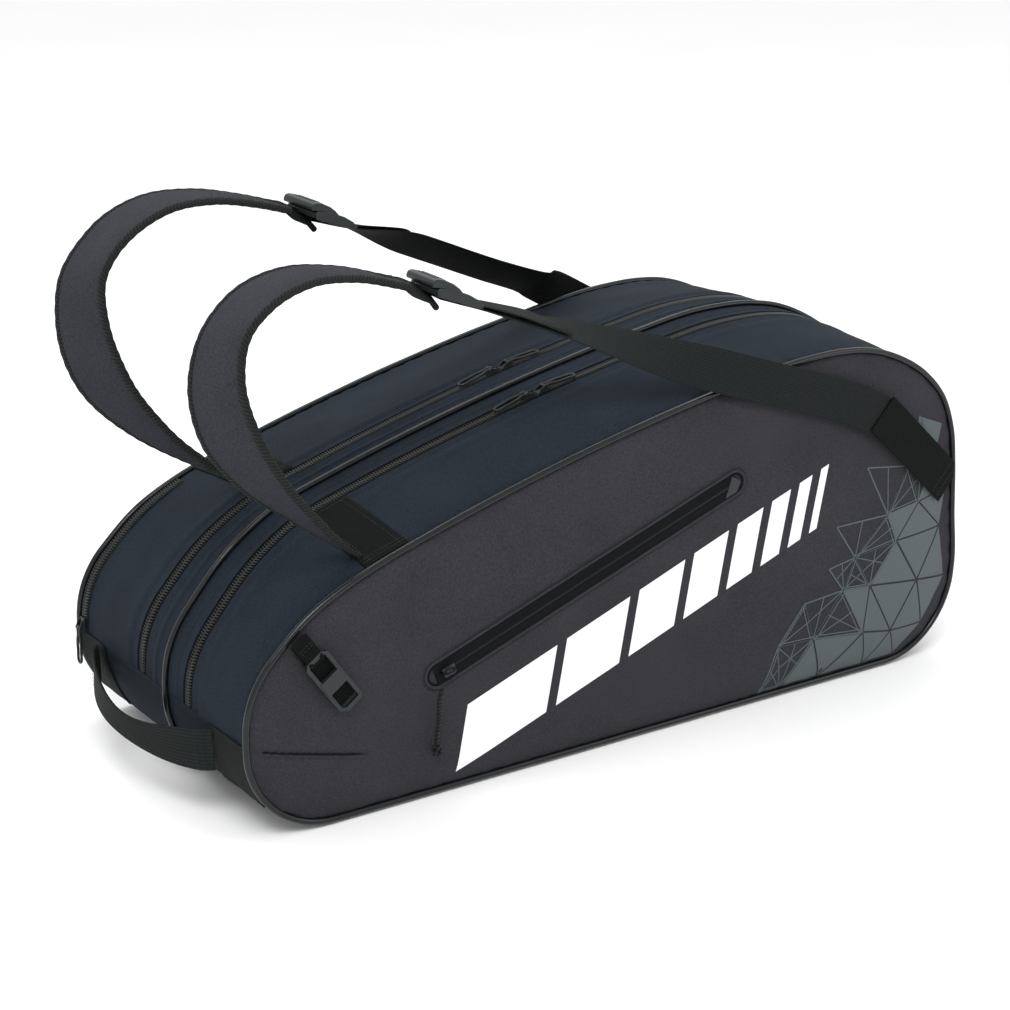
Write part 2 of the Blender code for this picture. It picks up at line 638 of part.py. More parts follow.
def make_strap(prefix, pad_route, webbing_route, side, turns, origin):
    pad = smooth_route(pad_route, 2)
    count = len(pad) - 1
    widths = [pad_width(i / count) for i in range(count + 1)]
    lean = [0.45 * math.sin(math.pi * min(1.0, i / count / 0.62)) for i in range(count + 1)]
    hints = [Vector((a, -1.0, a * 0.6)) for a in lean]
    add_object(prefix + "_strap_pad", ribbon(pad, widths, hints, PAD_THICKNESS), "charcoal_fabric", origin)
    webbing = smooth_route(webbing_route, 2)
    hints = []
    for point in webbing:
        turn = math.radians(90.0) * max(share * ease(point.x, low, high) for share, low, high in turns)
        hints.append(Vector((0.0, side * math.cos(turn), -math.sin(turn))))
    widths = [WEBBING_WIDTH] * len(webbing)
    widths[0] = WEBBING_WIDTH * 0.8
    add_object(prefix + "_strap_webbing", ribbon(webbing, widths, hints, WEBBING_THICKNESS),
               "black_webbing", origin)
    start = pad[-1]
    end = webbing[4]
    run = (end - start).normalized()
    wide = Vector((0.0, 1.0, 0.0))
    wide = (wide - run * wide.dot(run)).normalized()
    up = run.cross(wide)
    if up.z < 0.0:
        up = -up
    base = start + up * (PAD_THICKNESS / 2) + run * BUCKLE_SETBACK

    def place(u, v, w):
        return base + run * u + wide * v + up * w

    half = BUCKLE_WIDTH / 2
    us = (0.0, BUCKLE_BAR, BUCKLE_BAR + BUCKLE_SLOT, 2 * BUCKLE_BAR + BUCKLE_SLOT,
          2 * BUCKLE_BAR + 2 * BUCKLE_SLOT, 3 * BUCKLE_BAR + 2 * BUCKLE_SLOT)
    vs = (-half, -half + BUCKLE_RAIL, half - BUCKLE_RAIL, half)
    filled = {(i, j) for i in range(5) for j in range(3)} - {(1, 1), (3, 1)}
    buckle = cells(us, vs, filled, 0.0, BUCKLE_THICKNESS, place)
    add_object(prefix + "_buckle", buckle, "black_plastic", origin)


def make_bands():
    left = station_at(BAND_X - BAND_WIDTH / 2)
    right = station_at(BAND_X + BAND_WIDTH / 2)
    middle = station_at(BAND_X)
    rows = [left, middle, right]
    for name, (y_from, y_to), origin in (("front_strap_band", FRONT_BAND_Y, FRONT_HINGE),
                                         ("rear_strap_band", REAR_BAND_Y, REAR_HINGE)):
        band = strip(rows, y_from, y_to, 2 * GAP, 2 * GAP + BAND_THICKNESS, 3)
        add_object(name, band, "black_webbing", origin)


# ---------------------------------------------------------------- accessory clip
def clip_place(u, v, w):
    """Local (down the clip, across it, out of the panel) to bag coordinates."""
    down = Vector((math.cos(CLIP_ANGLE), 0.0, math.sin(CLIP_ANGLE)))
    across = Vector((-math.sin(CLIP_ANGLE), 0.0, math.cos(CLIP_ANGLE)))
    start = Vector((CLIP_TOP[0], -PANEL_EDGE - PANEL_CROWN, CLIP_TOP[1]))
    return start + down * u + across * v - Vector((0.0, w, 0.0))


def make_clip():
    half = CLIP_WIDTH / 2
    middle = CLIP_LENGTH / 2
    us = (0.0, CLIP_BAR, middle - 0.007, middle + 0.007, CLIP_LENGTH - CLIP_BAR, CLIP_LENGTH)
    vs = (-half, -half + CLIP_BAR, half - CLIP_BAR, half)
    filled = {(i, j) for i in range(5) for j in range(3)} - {(1, 1), (3, 1)}
    low = CLIP_LIFT
    add_object("accessory_clip", cells(us, vs, filled, low, low + CLIP_THICKNESS, clip_place),
               "black_plastic", clip_place(CLIP_BAR / 2, 0.0, low + CLIP_THICKNESS / 2))
    tab_half = TAB_WIDTH / 2
    tab_reach = TAB_LENGTH / 2
    add_object("clip_tab", cells((-tab_reach, tab_reach), (-tab_half, tab_half), {(0, 0)}, GAP,
                                 GAP + TAB_THICKNESS, clip_place), "black_webbing", FRONT_HINGE)


clear_scene()
make_shell()
make_piping()
make_panels()
make_sliders()
make_pocket()
make_handle()
make_bands()
make_strap("front", FRONT_PAD_ROUTE, FRONT_WEBBING_ROUTE, -1.0, FRONT_TURNS, FRONT_PAD_ROUTE[0])
make_strap("rear", REAR_PAD_ROUTE, REAR_WEBBING_ROUTE, 1.0, REAR_TURNS, REAR_PAD_ROUTE[0])
make_clip()
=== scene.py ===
import json
import math

import bmesh
import bpy
import numpy as np
from mathutils import Matrix, Vector


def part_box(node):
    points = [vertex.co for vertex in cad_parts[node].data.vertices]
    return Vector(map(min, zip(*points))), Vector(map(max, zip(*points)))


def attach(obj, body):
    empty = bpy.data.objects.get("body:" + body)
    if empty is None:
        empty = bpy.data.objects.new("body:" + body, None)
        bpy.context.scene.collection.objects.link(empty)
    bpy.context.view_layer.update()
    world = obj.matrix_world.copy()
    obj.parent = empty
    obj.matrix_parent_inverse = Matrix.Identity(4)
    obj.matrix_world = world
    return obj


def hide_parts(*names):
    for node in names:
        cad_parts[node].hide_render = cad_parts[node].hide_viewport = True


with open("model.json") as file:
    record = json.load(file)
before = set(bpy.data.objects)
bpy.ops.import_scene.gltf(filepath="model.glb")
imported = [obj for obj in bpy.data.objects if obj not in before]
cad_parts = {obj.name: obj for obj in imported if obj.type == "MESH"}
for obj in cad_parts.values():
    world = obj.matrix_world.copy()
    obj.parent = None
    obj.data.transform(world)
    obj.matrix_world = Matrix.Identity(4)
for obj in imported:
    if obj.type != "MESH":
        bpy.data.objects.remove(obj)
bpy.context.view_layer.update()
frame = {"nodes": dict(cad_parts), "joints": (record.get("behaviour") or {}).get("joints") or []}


def middle(node):
    """Middle of a CAD node's box."""
    low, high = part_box(node)
    return (low + high) / 2


def joint(name):
    return next(item for item in frame["joints"] if item["name"] == name)


# ---------------------------------------------------------------- sizes, in metres
HALF_WIDTH = middle("rear_piping").y
PIPING_RADIUS = (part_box("rear_piping")[1].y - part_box("rear_piping")[0].y) / 2
CENTRE_Y = middle("divider").y
FRONT_ZIP_Y = joint("front_slider_left_run")["pos_m"][1]
REAR_ZIP_Y = joint("rear_slider_left_run")["pos_m"][1]
SIDE_ZIP_Y = joint("side_slider_run")["pos_m"][1]
PANEL_FACE = -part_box("front_panel")[0].y
GAP = 0.0003
OUTWARD = np.array([0.0, -1.0, 0.0])
ACROSS = np.array([0.0, 1.0, 0.0])

HALF_LENGTH = 0.380
BASE_Z = 0.004
CORNER_RADIUS = 0.080
SEAM_Z = 0.086
SHOULDER_Z = 0.318
TOP_ARC_CENTRE = (0.5075, -2.0591)
TOP_ARC_RADIUS = 2.400
TOP_ARC_LEFT_X = -0.250
TOP_ARC_RIGHT_X = 0.150
TOP_ARC_STEPS = 10
NOSE_CENTRE = (-0.295, 0.095)
NOSE_RADIUS = 0.085
NOSE_END_DEG = 48.0
DOME = 0.015
TALL_END_DOME = 0.005
NOSE_FAN = 0.21
LEFT_SEAM = 8
SOLE_XS = (0.298, 0.290, 0.260, 0.160, 0.0, -0.160, -0.260, -0.290, -0.298)
RIGHT_SEAM = -9 - len(SOLE_XS)
RIM_STEP = 0.0035

PANEL_CENTRE = np.array([0.020, 0.150])
PANEL_CROWN = 0.008
PANEL_INSET = 0.0024
CLOTH = 0.0012
ZIP_HALF = 0.005
LIP_HALF = 0.0070
COIL_HALF = 0.0048
COIL_PITCH = 0.0026
CENTRE_PIPING_RADIUS = 0.0027
PIPING_SHARE = 0.82
SEAM_INSET = 0.0028
STITCH_INSET = 0.0080

POCKET_ZIP_START = (-0.206, 0.111)
POCKET_ZIP_ANGLE = math.radians(19.5)
POCKET_ZIP_LENGTH = 0.326
POCKET_ZIP_HALF = 0.008

SLIDER_LENGTH = 0.012
SLIDER_WIDTH = 0.0084
PULLER_LENGTH = 0.034
PULLER_WIDTH = 0.0085
PULLER_TILT = math.radians(5.0)
# the pin's place behind the slider's front end and above the zip, and the slider's side outline
SLIDER_PIN = (0.0030, 0.0052)
SLIDER_SHELL = [(0.0, 0.0), (0.0, 0.0016), (-0.0016, 0.0022), (-SLIDER_LENGTH + 0.0022, 0.0022),
                (-SLIDER_LENGTH, 0.0013), (-SLIDER_LENGTH, 0.0)]
# the x between the two sliders of each main zip
SLIDER_MIDDLES = (("front", -0.030), ("rear", -0.020))
SLIDER_SPREAD = 0.0125

HANDLE_WIDTH = 0.036
HANDLE_ROOT = (-0.3845, 0.066)
HANDLE_FRONT_Y = -0.100
HANDLE_REAR_Y = 0.111
HANDLE_BULGE = 0.028
HANDLE_DROOP = 0.009

BAND_X = -0.246
BAND_HALF = 0.020
BAND_SEAM_Y = 0.1482
BAND_CLEARANCE = 0.0005
WEBBING_WIDTH = 0.038
WEBBING_THICKNESS = 0.0017
WEBBING_BEND = 10
TAIL_START_X = -0.158
TAIL_END_X = -0.058
BUCKLE_AIM_X = -0.108
BUCKLE_ADVANCE = 0.021
BUCKLE_HALF_WIDTH = 0.0225
BUCKLE_SHRINK = 0.76
TAIL_WIDTH = WEBBING_WIDTH * 0.97
TAB_TILT = np.array([0.0, 0.0, -0.34])
FOOT_SHARE = 0.990
PAD_WIDTH = 0.062
PAD_TIP_WIDTH = 0.014
PAD_FOOT_X = -0.2625
PAD_FOOT_LIFT = 0.0026
PAD_THICKNESS = 0.0080
CLIP_TOP = (-0.3245, 0.1550)
CLIP_ANGLE = math.radians(-54.0)
STITCH_PITCH = 0.0034
PRINT_SHARE = 0.978
PRINT_THICKNESS = 0.0006
PRINT_CELL = 0.006
BAR_WIDTHS = (0.096, 0.070, 0.052, 0.040, 0.030, 0.022, 0.015, 0.009)
BAR_GAP = 0.011
BAR_HEIGHT = 0.060
BARS_START = np.array([-0.186, 0.018])

CAMERA_PLACE = (-1.2067, -1.7027, 0.9067)
CAMERA_TURN, CAMERA_FALL, CAMERA_ROLL = (math.radians(angle) for angle in (34.607, 19.400, 0.667))
CAMERA_LENS = 87.27
FLOOR_HALF = 30.0
FLOOR_Z = -0.0004
# each light's place, what it points at, its two sides and its power
LIGHTS = (
    ("key", (-1.3, -1.4, 2.3), (0.0, 0.0, 0.15), (1.4, 1.0), 40.0),
    ("top", (0.2, 0.9, 2.4), (0.0, 0.0, 0.2), (2.4, 0.9), 26.0),
    ("fill", (1.8, -1.8, 1.2), (0.1, 0.0, 0.15), (1.2, 1.2), 8.0),
)

# strap routes, from the nose to the tall end
FRONT_PAD_ROUTE = [
    (-0.2745, -0.130, 0.2260), (-0.311, -0.128, 0.258), (-0.344, -0.123, 0.291), (-0.369, -0.117, 0.332),
    (-0.3755, -0.111, 0.376), (-0.364, -0.106, 0.4095), (-0.337, -0.104, 0.434), (-0.300, -0.104, 0.4455),
    (-0.260, -0.105, 0.443), (-0.2085, -0.107, 0.429),
]
FRONT_WEBBING_ROUTE = [
    (-0.180, -0.109, 0.4155), (-0.145, -0.111, 0.4035), (-0.108, -0.114, 0.3905), (-0.0615, -0.120, 0.3745),
    (-0.001, -0.130, 0.3515), (0.048, -0.142, 0.334), (0.091, -0.158, 0.321), (0.136, -0.163, 0.3055),
    (0.192, -0.163, 0.286), (0.252, -0.163, 0.2615), (0.275, -0.163, 0.248), (0.316, -0.161, 0.2115),
    (0.362, -0.158, 0.1705),
]
REAR_PAD_ROUTE = [
    (-0.276, 0.042, 0.2340), (-0.309, 0.050, 0.254), (-0.352, 0.058, 0.288), (-0.387, 0.065, 0.332),
    (-0.401, 0.070, 0.382), (-0.397, 0.073, 0.421), (-0.373, 0.075, 0.451), (-0.330, 0.077, 0.4715),
    (-0.285, 0.0775, 0.473), (-0.244, 0.078, 0.465), (-0.211, 0.079, 0.4555),
]
REAR_WEBBING_ROUTE = [
    (-0.186, 0.080, 0.4430), (-0.148, 0.083, 0.4315), (-0.100, 0.087, 0.414), (-0.045, 0.094, 0.3925),
    (0.034, 0.108, 0.3605), (0.080, 0.125, 0.342), (0.115, 0.1485, 0.3275), (0.150, 0.162, 0.310),
    (0.192, 0.164, 0.287), (0.252, 0.164, 0.2615), (0.275, 0.163, 0.248), (0.316, 0.161, 0.2115),
    (0.362, 0.158, 0.1705),
]
# each part of a strap's twist: its share of a quarter turn, and the x at which it starts and ends
FRONT_TURNS = ((1.0, -0.150, 0.165),)
REAR_TURNS = ((0.42, -0.160, -0.070), (1.0, 0.027, 0.170))

CLOTH_ROUGHNESS = 0.85
WEBBING_ROUGHNESS = 0.72

CORD_DIAMETER = 0.0040
KNOT_RADIUS = 0.0046
KNOT_STRAND_RADIUS = 0.0014
CORD_ROUTE = [
    (-0.2075, -0.1672, 0.1030), (-0.2090, -0.1685, 0.0990), (-0.2098, -0.1680, 0.0940),
    (-0.2097, -0.1665, 0.0880), (-0.2090, -0.1655, 0.0810), (-0.2087, -0.1650, 0.0740),
    (-0.2093, -0.1646, 0.0670), (-0.2101, -0.1643, 0.0600), (-0.2106, -0.1641, 0.0530),
]


# ---------------------------------------------------------------- materials
class Paint:
    """A node material being put together, with its Principled BSDF."""

    def __init__(self, name, roughness, sheen=None, gloss=None):
        self.material = bpy.data.materials.new(name)
        self.material.use_nodes = True
        self.tree = self.material.node_tree
        self.shader = self.tree.nodes["Principled BSDF"]
        for title, value in (("Roughness", roughness), ("Sheen Weight", sheen), ("Specular IOR Level", gloss)):
            if value is not None:
                self.shader.inputs[title].default_value = value
        coordinates = self.tree.nodes.new("ShaderNodeTexCoord")
        self.place = coordinates.outputs["Object"]
        self.cloth = coordinates.outputs["UV"]

    def put(self, socket, value):
        if isinstance(value, bpy.types.NodeSocket):
            self.tree.links.new(value, socket)
        else:
            socket.default_value = value

    def math(self, operation, *values):
        node = self.tree.nodes.new("ShaderNodeMath")
        node.operation = operation
        for socket, value in zip(node.inputs, values):
            self.put(socket, value)
        return node.outputs[0]

    def noise(self, scale, detail=3.0):
        node = self.tree.nodes.new("ShaderNodeTexNoise")
        self.put(node.inputs["Vector"], self.place)
        node.inputs["Scale"].default_value = scale
        node.inputs["Detail"].default_value = detail
        return node.outputs["Fac"]

    def wave(self, axis, pitch, slant=0.0):
        """A sine from -1 to 1 along the cloth's own u or v, in metres."""
        split = self.tree.nodes.new("ShaderNodeSeparateXYZ")
        self.put(split.inputs[0], self.cloth)
        along, across = split.outputs[axis], split.outputs[1 - axis]
        run = self.math("MULTIPLY_ADD", across, slant, along)
        return self.math("SINE", self.math("MULTIPLY", run, 2.0 * math.pi / pitch))

    def weave(self, pitch_along, pitch_across):
        """Two crossing sines, for threads and for holes."""
        return self.math("MULTIPLY", self.wave(0, pitch_along), self.wave(1, pitch_across))

    def ramp(self, value, low, high, dark, light):
        node = self.tree.nodes.new("ShaderNodeMapRange")
        self.put(node.inputs["Value"], value)
        node.inputs["From Min"].default_value = low
        node.inputs["From Max"].default_value = high
        mix = self.tree.nodes.new("ShaderNodeMix")
        mix.data_type = "RGBA"
        self.put(mix.inputs["Factor"], node.outputs["Result"])
        self.put(mix.inputs[6], (*dark, 1.0))
        self.put(mix.inputs[7], (*light, 1.0))
        return mix.outputs[2]

    def finish(self, colour, height, distance, strength=0.8, roughness=None):
        self.put(self.shader.inputs["Base Color"], colour)
        if roughness is not None:
            self.put(self.shader.inputs["Roughness"], roughness)
        bump = self.tree.nodes.new("ShaderNodeBump")
        bump.inputs["Strength"].default_value = strength
        bump.inputs["Distance"].default_value = distance
        self.put(bump.inputs["Height"], height)
        self.put(self.shader.inputs["Normal"], bump.outputs["Normal"])
        return self.material


def scaled(colour, factor):
    return tuple(channel * factor for channel in colour)


def woven(name, colour, pitch, contrast, sheen):
    """Plain-woven cloth: crossing threads, fine grain and slow shade changes."""
    paint = Paint(name, CLOTH_ROUGHNESS, sheen, 0.10)
    paint.shader.inputs["Sheen Roughness"].default_value = 0.45
    threads = paint.weave(pitch, pitch)
    grain = paint.noise(780.0, 2.0)
    slow = paint.noise(16.0, 3.0)
    mixed = paint.math("ADD", paint.math("MULTIPLY", grain, 0.75), paint.math("MULTIPLY", slow, 0.25))
    tone = paint.math("ADD", mixed, paint.math("MULTIPLY", threads, 0.05))
    shade = paint.ramp(tone, 0.34, 0.66, scaled(colour, 1.0 - contrast), scaled(colour, 1.0 + contrast))
    height = paint.math("ADD", paint.math("MULTIPLY", threads, 0.5), grain)
    rough = paint.math("MULTIPLY_ADD", grain, 0.14, CLOTH_ROUGHNESS - 0.07)
    return paint.finish(shade, height, 0.0005, 0.75, rough)


def webbed(name, colour, rib, sheen):
    """Webbing: ribs along its length, crossed by finer picks."""
    paint = Paint(name, WEBBING_ROUGHNESS, sheen, 0.05)
    ribs = paint.math("ABSOLUTE", paint.wave(1, rib * 2.0))
    picks = paint.wave(0, rib * 1.1)
    height = paint.math("MULTIPLY_ADD", picks, 0.28, ribs)
    tone = paint.math("ADD", height, paint.math("MULTIPLY", paint.noise(300.0), 0.5))
    shade = paint.ramp(tone, 0.1, 1.6, scaled(colour, 0.62), scaled(colour, 1.42))
    return paint.finish(shade, height, 0.0005, 0.9)


def twisted(name, colour):
    """Corded edge binding with slanting strands."""
    paint = Paint(name, 0.70, 0.03, 0.12)
    strands = paint.wave(0, 0.0034, 0.55)
    tone = paint.math("ADD", strands, paint.noise(500.0))
    shade = paint.ramp(tone, -0.8, 1.8, scaled(colour, 0.45), scaled(colour, 1.6))
    return paint.finish(shade, strands, 0.0006, 0.9)


def open_mesh(name, colour):
    """Knitted spacer mesh with small dark holes."""
    paint = Paint(name, 0.80, 0.02, 0.10)
    holes = paint.weave(0.0032, 0.0024)
    tone = paint.math("MULTIPLY_ADD", paint.noise(600.0), 0.4, holes)
    shade = paint.ramp(tone, -0.3, 0.7, scaled(colour, 1.35), scaled(colour, 0.25))
    return paint.finish(shade, paint.math("MULTIPLY", holes, -1.0), 0.0006, 0.9)


def moulded(name, colour, roughness, grain_bump=0.00012, coat=0.0, gloss=0.35):
    """Moulded plastic or coated piping with a fine spark-eroded grain and slight wear."""
    paint = Paint(name, roughness, gloss=gloss)
    paint.shader.inputs["Coat Weight"].default_value = coat
    paint.shader.inputs["Coat Roughness"].default_value = 0.18
    grain = paint.noise(1500.0, 2.0)
    wear = paint.noise(90.0, 5.0)
    shade = paint.ramp(wear, 0.35, 0.75, scaled(colour, 0.85), scaled(colour, 1.30))
    rough = paint.math("MULTIPLY_ADD", wear, 0.20, roughness - 0.10)
    return paint.finish(shade, grain, grain_bump, 0.6, rough)


def printed(name, colour):
    """Screen print lying on cloth, whose weave shows through it."""
    paint = Paint(name, 0.62)
    threads = paint.weave(0.0011, 0.0011)
    grain = paint.noise(900.0)
    tone = paint.math("MULTIPLY_ADD", threads, 0.06, grain)
    shade = paint.ramp(tone, 0.2, 0.8, scaled(colour, 0.90), scaled(colour, 1.08))
    return paint.finish(shade, paint.math("MULTIPLY_ADD", threads, 0.5, grain), 0.0003, 0.5)


NAVY = woven("navy_cloth", (0.0105, 0.0165, 0.0245), 0.0011, 0.40, 0.012)
CHARCOAL = woven("charcoal_cloth", (0.0300, 0.0300, 0.0350), 0.0012, 0.30, 0.018)
PAD_FACE = woven("pad_cloth", (0.0290, 0.0310, 0.0385), 0.0010, 0.38, 0.018)
LINING = woven("lining_cloth", (0.050, 0.052, 0.056), 0.0009, 0.30, 0.02)
WEBBING = webbed("strap_webbing", (0.0048, 0.0054, 0.0054), 0.0019, 0.003)
# WEBBING_LIT is the same black webbing painted lighter: painted light, for the front strap, its buckle tab, roll
# and tail, and the haul handle.
WEBBING_LIT = webbed("strap_webbing_painted_light", (0.0120, 0.0142, 0.0140), 0.0019, 0.008)
TAPE = webbed("zip_tape", (0.0060, 0.0070, 0.0074), 0.0009, 0.006)
BINDING = twisted("edge_binding", (0.0100, 0.0118, 0.0115))
SPACER = open_mesh("spacer_mesh", (0.0075, 0.0088, 0.0088))
PIPING = moulded("coated_piping", (0.0045, 0.0055, 0.0065), 0.20, 0.00006, 0.14, 0.24)
PLASTIC = moulded("moulded_plastic", (0.0100, 0.0130, 0.0140), 0.36)
COIL = moulded("nylon_coil", (0.0120, 0.0135, 0.0120), 0.45, 0.00004)
THREAD = moulded("sewing_thread", (0.0050, 0.0060, 0.0070), 0.60, 0.00004)
BOARD = moulded("floor_board", (0.030, 0.030, 0.031), 0.70)
PRINT_GREY = printed("grey_print", (0.054, 0.070, 0.072))
PRINT_WHITE = printed("white_print", (0.80, 0.81, 0.83))


# ---------------------------------------------------------------- mesh helpers
def quads(rows, columns, closed=False):
    """Quads round each step of a tube's grid of points, and the grid step of each corner, for its place
    on the cloth. A closed tube's last row joins its first."""
    i, j = np.meshgrid(np.arange(rows if closed else rows - 1), np.arange(columns), indexing="ij")
    i, j = i.ravel(), j.ravel()
    steps = np.stack([np.stack([i, j], 1), np.stack([i, j + 1], 1),
                      np.stack([i + 1, j + 1], 1), np.stack([i + 1, j], 1)], 1)
    return (steps[..., 0] % rows) * columns + steps[..., 1] % columns, steps


def grid_lengths(points, closed):
    """Distance along the middle row of a tube's grid of points, and round its middle column."""
    along, round_it = points[:, points.shape[1] // 2], points[points.shape[0] // 2]
    return lengths(np.vstack([along, along[:1]]) if closed else along), lengths(np.vstack([round_it, round_it[:1]]))


def add_piece(name, points, faces, paint, body, corners=None, stands_for=(), smooth=40.0):
    """A mesh piece from points and faces, riding on a CAD body. `corners` holds the cloth's u, v in metres."""
    mesh = bpy.data.meshes.new(name)
    flat = np.asarray(points, float).reshape(-1, 3)
    mesh.from_pydata(flat.tolist(), [], [list(map(int, face)) for face in faces])
    layer = mesh.uv_layers.new(name="cloth")
    if corners is None:
        index = np.zeros(len(mesh.loops), int)
        mesh.loops.foreach_get("vertex_index", index)
        corners = flat[index][:, [0, 2]]
    layer.data.foreach_set("uv", np.asarray(corners, np.float32).ravel())
    build = bmesh.new()
    build.from_mesh(mesh)
    bmesh.ops.recalc_face_normals(build, faces=build.faces)
    build.to_mesh(mesh)
    build.free()
    mesh.shade_smooth()
    mesh.set_sharp_from_angle(angle=math.radians(smooth))
    mesh.materials.append(paint)
    piece = bpy.data.objects.new(name, mesh)
    bpy.context.scene.collection.objects.link(piece)
    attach(piece, body)
    if stands_for:
        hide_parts(*([stands_for] if isinstance(stands_for, str) else stands_for))
    return piece


def skinned(grids, closed=False):
    """Points, faces and cloth coordinates of tubes, with flat caps where a tube isn't closed to a ring."""
    all_points, all_faces, all_corners = [], [], []
    start = 0
    for points in grids:
        rows, columns = points.shape[:2]
        faces, steps = quads(rows, columns, closed)
        along, across = grid_lengths(points, closed)
        all_points.append(points.reshape(-1, 3))
        all_faces += (faces + start).tolist()
        all_corners.append(np.stack([along[steps[..., 0]], across[steps[..., 1]]], -1).reshape(-1, 2))
        if not closed:
            for row, distance in ((0, 0.0), (rows - 1, along[-1])):
                all_faces.append([start + row * columns + j for j in range(columns)])
                all_corners.append(np.stack([np.full(columns, distance), across[:columns]], 1))
        start += rows * columns
    return np.vstack(all_points), all_faces, np.vstack(all_corners)


def slab(top, under):
    """A closed sheet between two grids of points, as one grid that goes round the sheet's section."""
    return np.concatenate([top, under[:, ::-1]], axis=1)


def sweep(centres, side, out, profile):
    """Sections of a profile along a line; `profile` is (k, 2) or one for each centre."""
    profile = np.broadcast_to(profile, (len(centres),) + np.shape(profile)[-2:])
    return (centres[:, None] + side[:, None] * profile[..., :1] + out[:, None] * profile[..., 1:])


def add_tube(name, path, side, out, section, paint, body, node=(), closed=False, smooth=40.0):
    """A tube along a path, with one section or one for each point."""
    points, faces, corners = skinned([sweep(path, side, out, section)], closed)
    return add_piece(name, points, faces, paint, body, corners, node, smooth)


def add_cloth(name, top, under, paint, body, node, turned=False):
    """A closed sheet of cloth between two grids of points; `turned` lays the cloth's u across it."""
    points, faces, corners = skinned([slab(top, under)])
    return add_piece(name, points, faces, paint, body, corners[:, ::-1] if turned else corners, node, 60.0)


def fanned(grid, hubs):
    """Points and faces of rings in a row, whose first and last ring are closed on their two hubs."""
    rows, count = grid.shape[:2]
    last, hub = (rows - 1) * count, rows * count
    faces = quads(rows, count)[0].tolist()
    faces += [[(j + 1) % count, j, hub] for j in range(count)]
    faces += [[last + j, last + (j + 1) % count, hub + 1] for j in range(count)]
    return np.vstack([grid.reshape(-1, 3), hubs]), faces


def unit(vectors):
    vectors = np.asarray(vectors, float)
    return vectors / np.linalg.norm(vectors, axis=-1, keepdims=True)


def smooth_line(points, spacing, closed=False):
    """A smooth curve through the points about `spacing` apart, and the sample number of each point."""
    knots = np.asarray(points, float)
    after = np.vstack([knots[1:], knots[:1] if closed else 2 * knots[-1:] - knots[-2:-1]])
    before = np.vstack([knots[-1:] if closed else 2 * knots[:1] - knots[1:2], knots[:-1]])
    ahead = np.linalg.norm(after - knots, axis=1)[:, None]
    behind = np.linalg.norm(knots - before, axis=1)[:, None]
    slope = ((after - knots) / ahead * behind + (knots - before) / behind * ahead) / (ahead + behind)
    rows, marks = [], []
    for i in range(len(knots) if closed else len(knots) - 1):
        marks.append(len(rows))
        k = (i + 1) % len(knots)
        reach = ahead[i, 0]
        steps = max(1, math.ceil(reach / spacing))
        for j in range(steps):
            t = j / steps
            rows.append((2 * t ** 3 - 3 * t ** 2 + 1) * knots[i] + (t ** 3 - 2 * t ** 2 + t) * reach * slope[i]
                        + (3 * t ** 2 - 2 * t ** 3) * knots[k] + (t ** 3 - t ** 2) * reach * slope[k])
    if not closed:
        marks.append(len(rows))
        rows.append(knots[-1])
    return np.array(rows), marks


def runs(line, closed=False):
    """Unit direction at each point of a line."""
    if closed:
        return unit(np.roll(line, -1, axis=0) - np.roll(line, 1, axis=0))
    return unit(np.gradient(line, axis=0))


def lengths(line):
    """Distance along a line to each of its points."""
    return np.concatenate([[0.0], np.cumsum(np.linalg.norm(np.diff(line, axis=0), axis=1))])


def resampled(stops, distance, values):
    """Values that are known along a line, read off at each stop."""
    return np.stack([np.interp(stops, distance, values[:, k]) for k in range(3)], 1)


def ease(value, low, high):
    t = np.clip((value - low) / (high - low), 0.0, 1.0)
    return t * t * (3.0 - 2.0 * t)


def ripple(u, v, size):
    """A slow, repeatable unevenness from -1 to 1 with features of about `size`."""
    a, b = u / size, v / size
    return (np.sin(1.7 * a + 1.3 * np.sin(0.9 * b + 0.4)) + np.sin(2.3 * b - 1.1 * np.sin(0.7 * a + 2.0))
            + np.sin(1.1 * (a + b) + 1.9)) / 3.0


def rounded(half_width, half_height, sides, power=2.6):
    """A flattened oval section."""
    angle = np.arange(sides) * 2.0 * math.pi / sides
    c, s = np.cos(angle), np.sin(angle)
    return np.stack([half_width * np.sign(c) * np.abs(c) ** (2 / power),
                     half_height * np.sign(s) * np.abs(s) ** (2 / power)], -1)


def small_bar(length, width, height):
    """A small six-sided bar with rounded ends along local x, for zip teeth and stitches."""
    sides = 6
    angle = np.arange(sides) * 2.0 * math.pi / sides
    points = []
    for share, size in ((-0.5, 0.35), (-0.38, 0.85), (0.0, 1.0), (0.38, 0.85), (0.5, 0.35)):
        for a in angle:
            points.append((share * length, math.cos(a) * width / 2 * size, math.sin(a) * height / 2 * size))
    faces = quads(5, sides)[0].tolist()
    for base in (0, 4 * sides):
        faces += [[base, base + 1, base + 2, base + 3], [base, base + 3, base + 4, base + 5]]
    return np.array(points), np.array(faces)


def scattered(shape, places, along, out):
    """Copies of one small shape at each place, turned to its direction and outwards."""
    points, faces = shape
    axes = np.stack([along, unit(np.cross(out, along)), out], axis=1)
    turned = places[:, None] + np.einsum("kc,ncd->nkd", points, axes)
    shift = (np.arange(len(places)) * len(points))[:, None, None]
    return turned.reshape(-1, 3), (faces[None] + shift).reshape(-1, faces.shape[1])


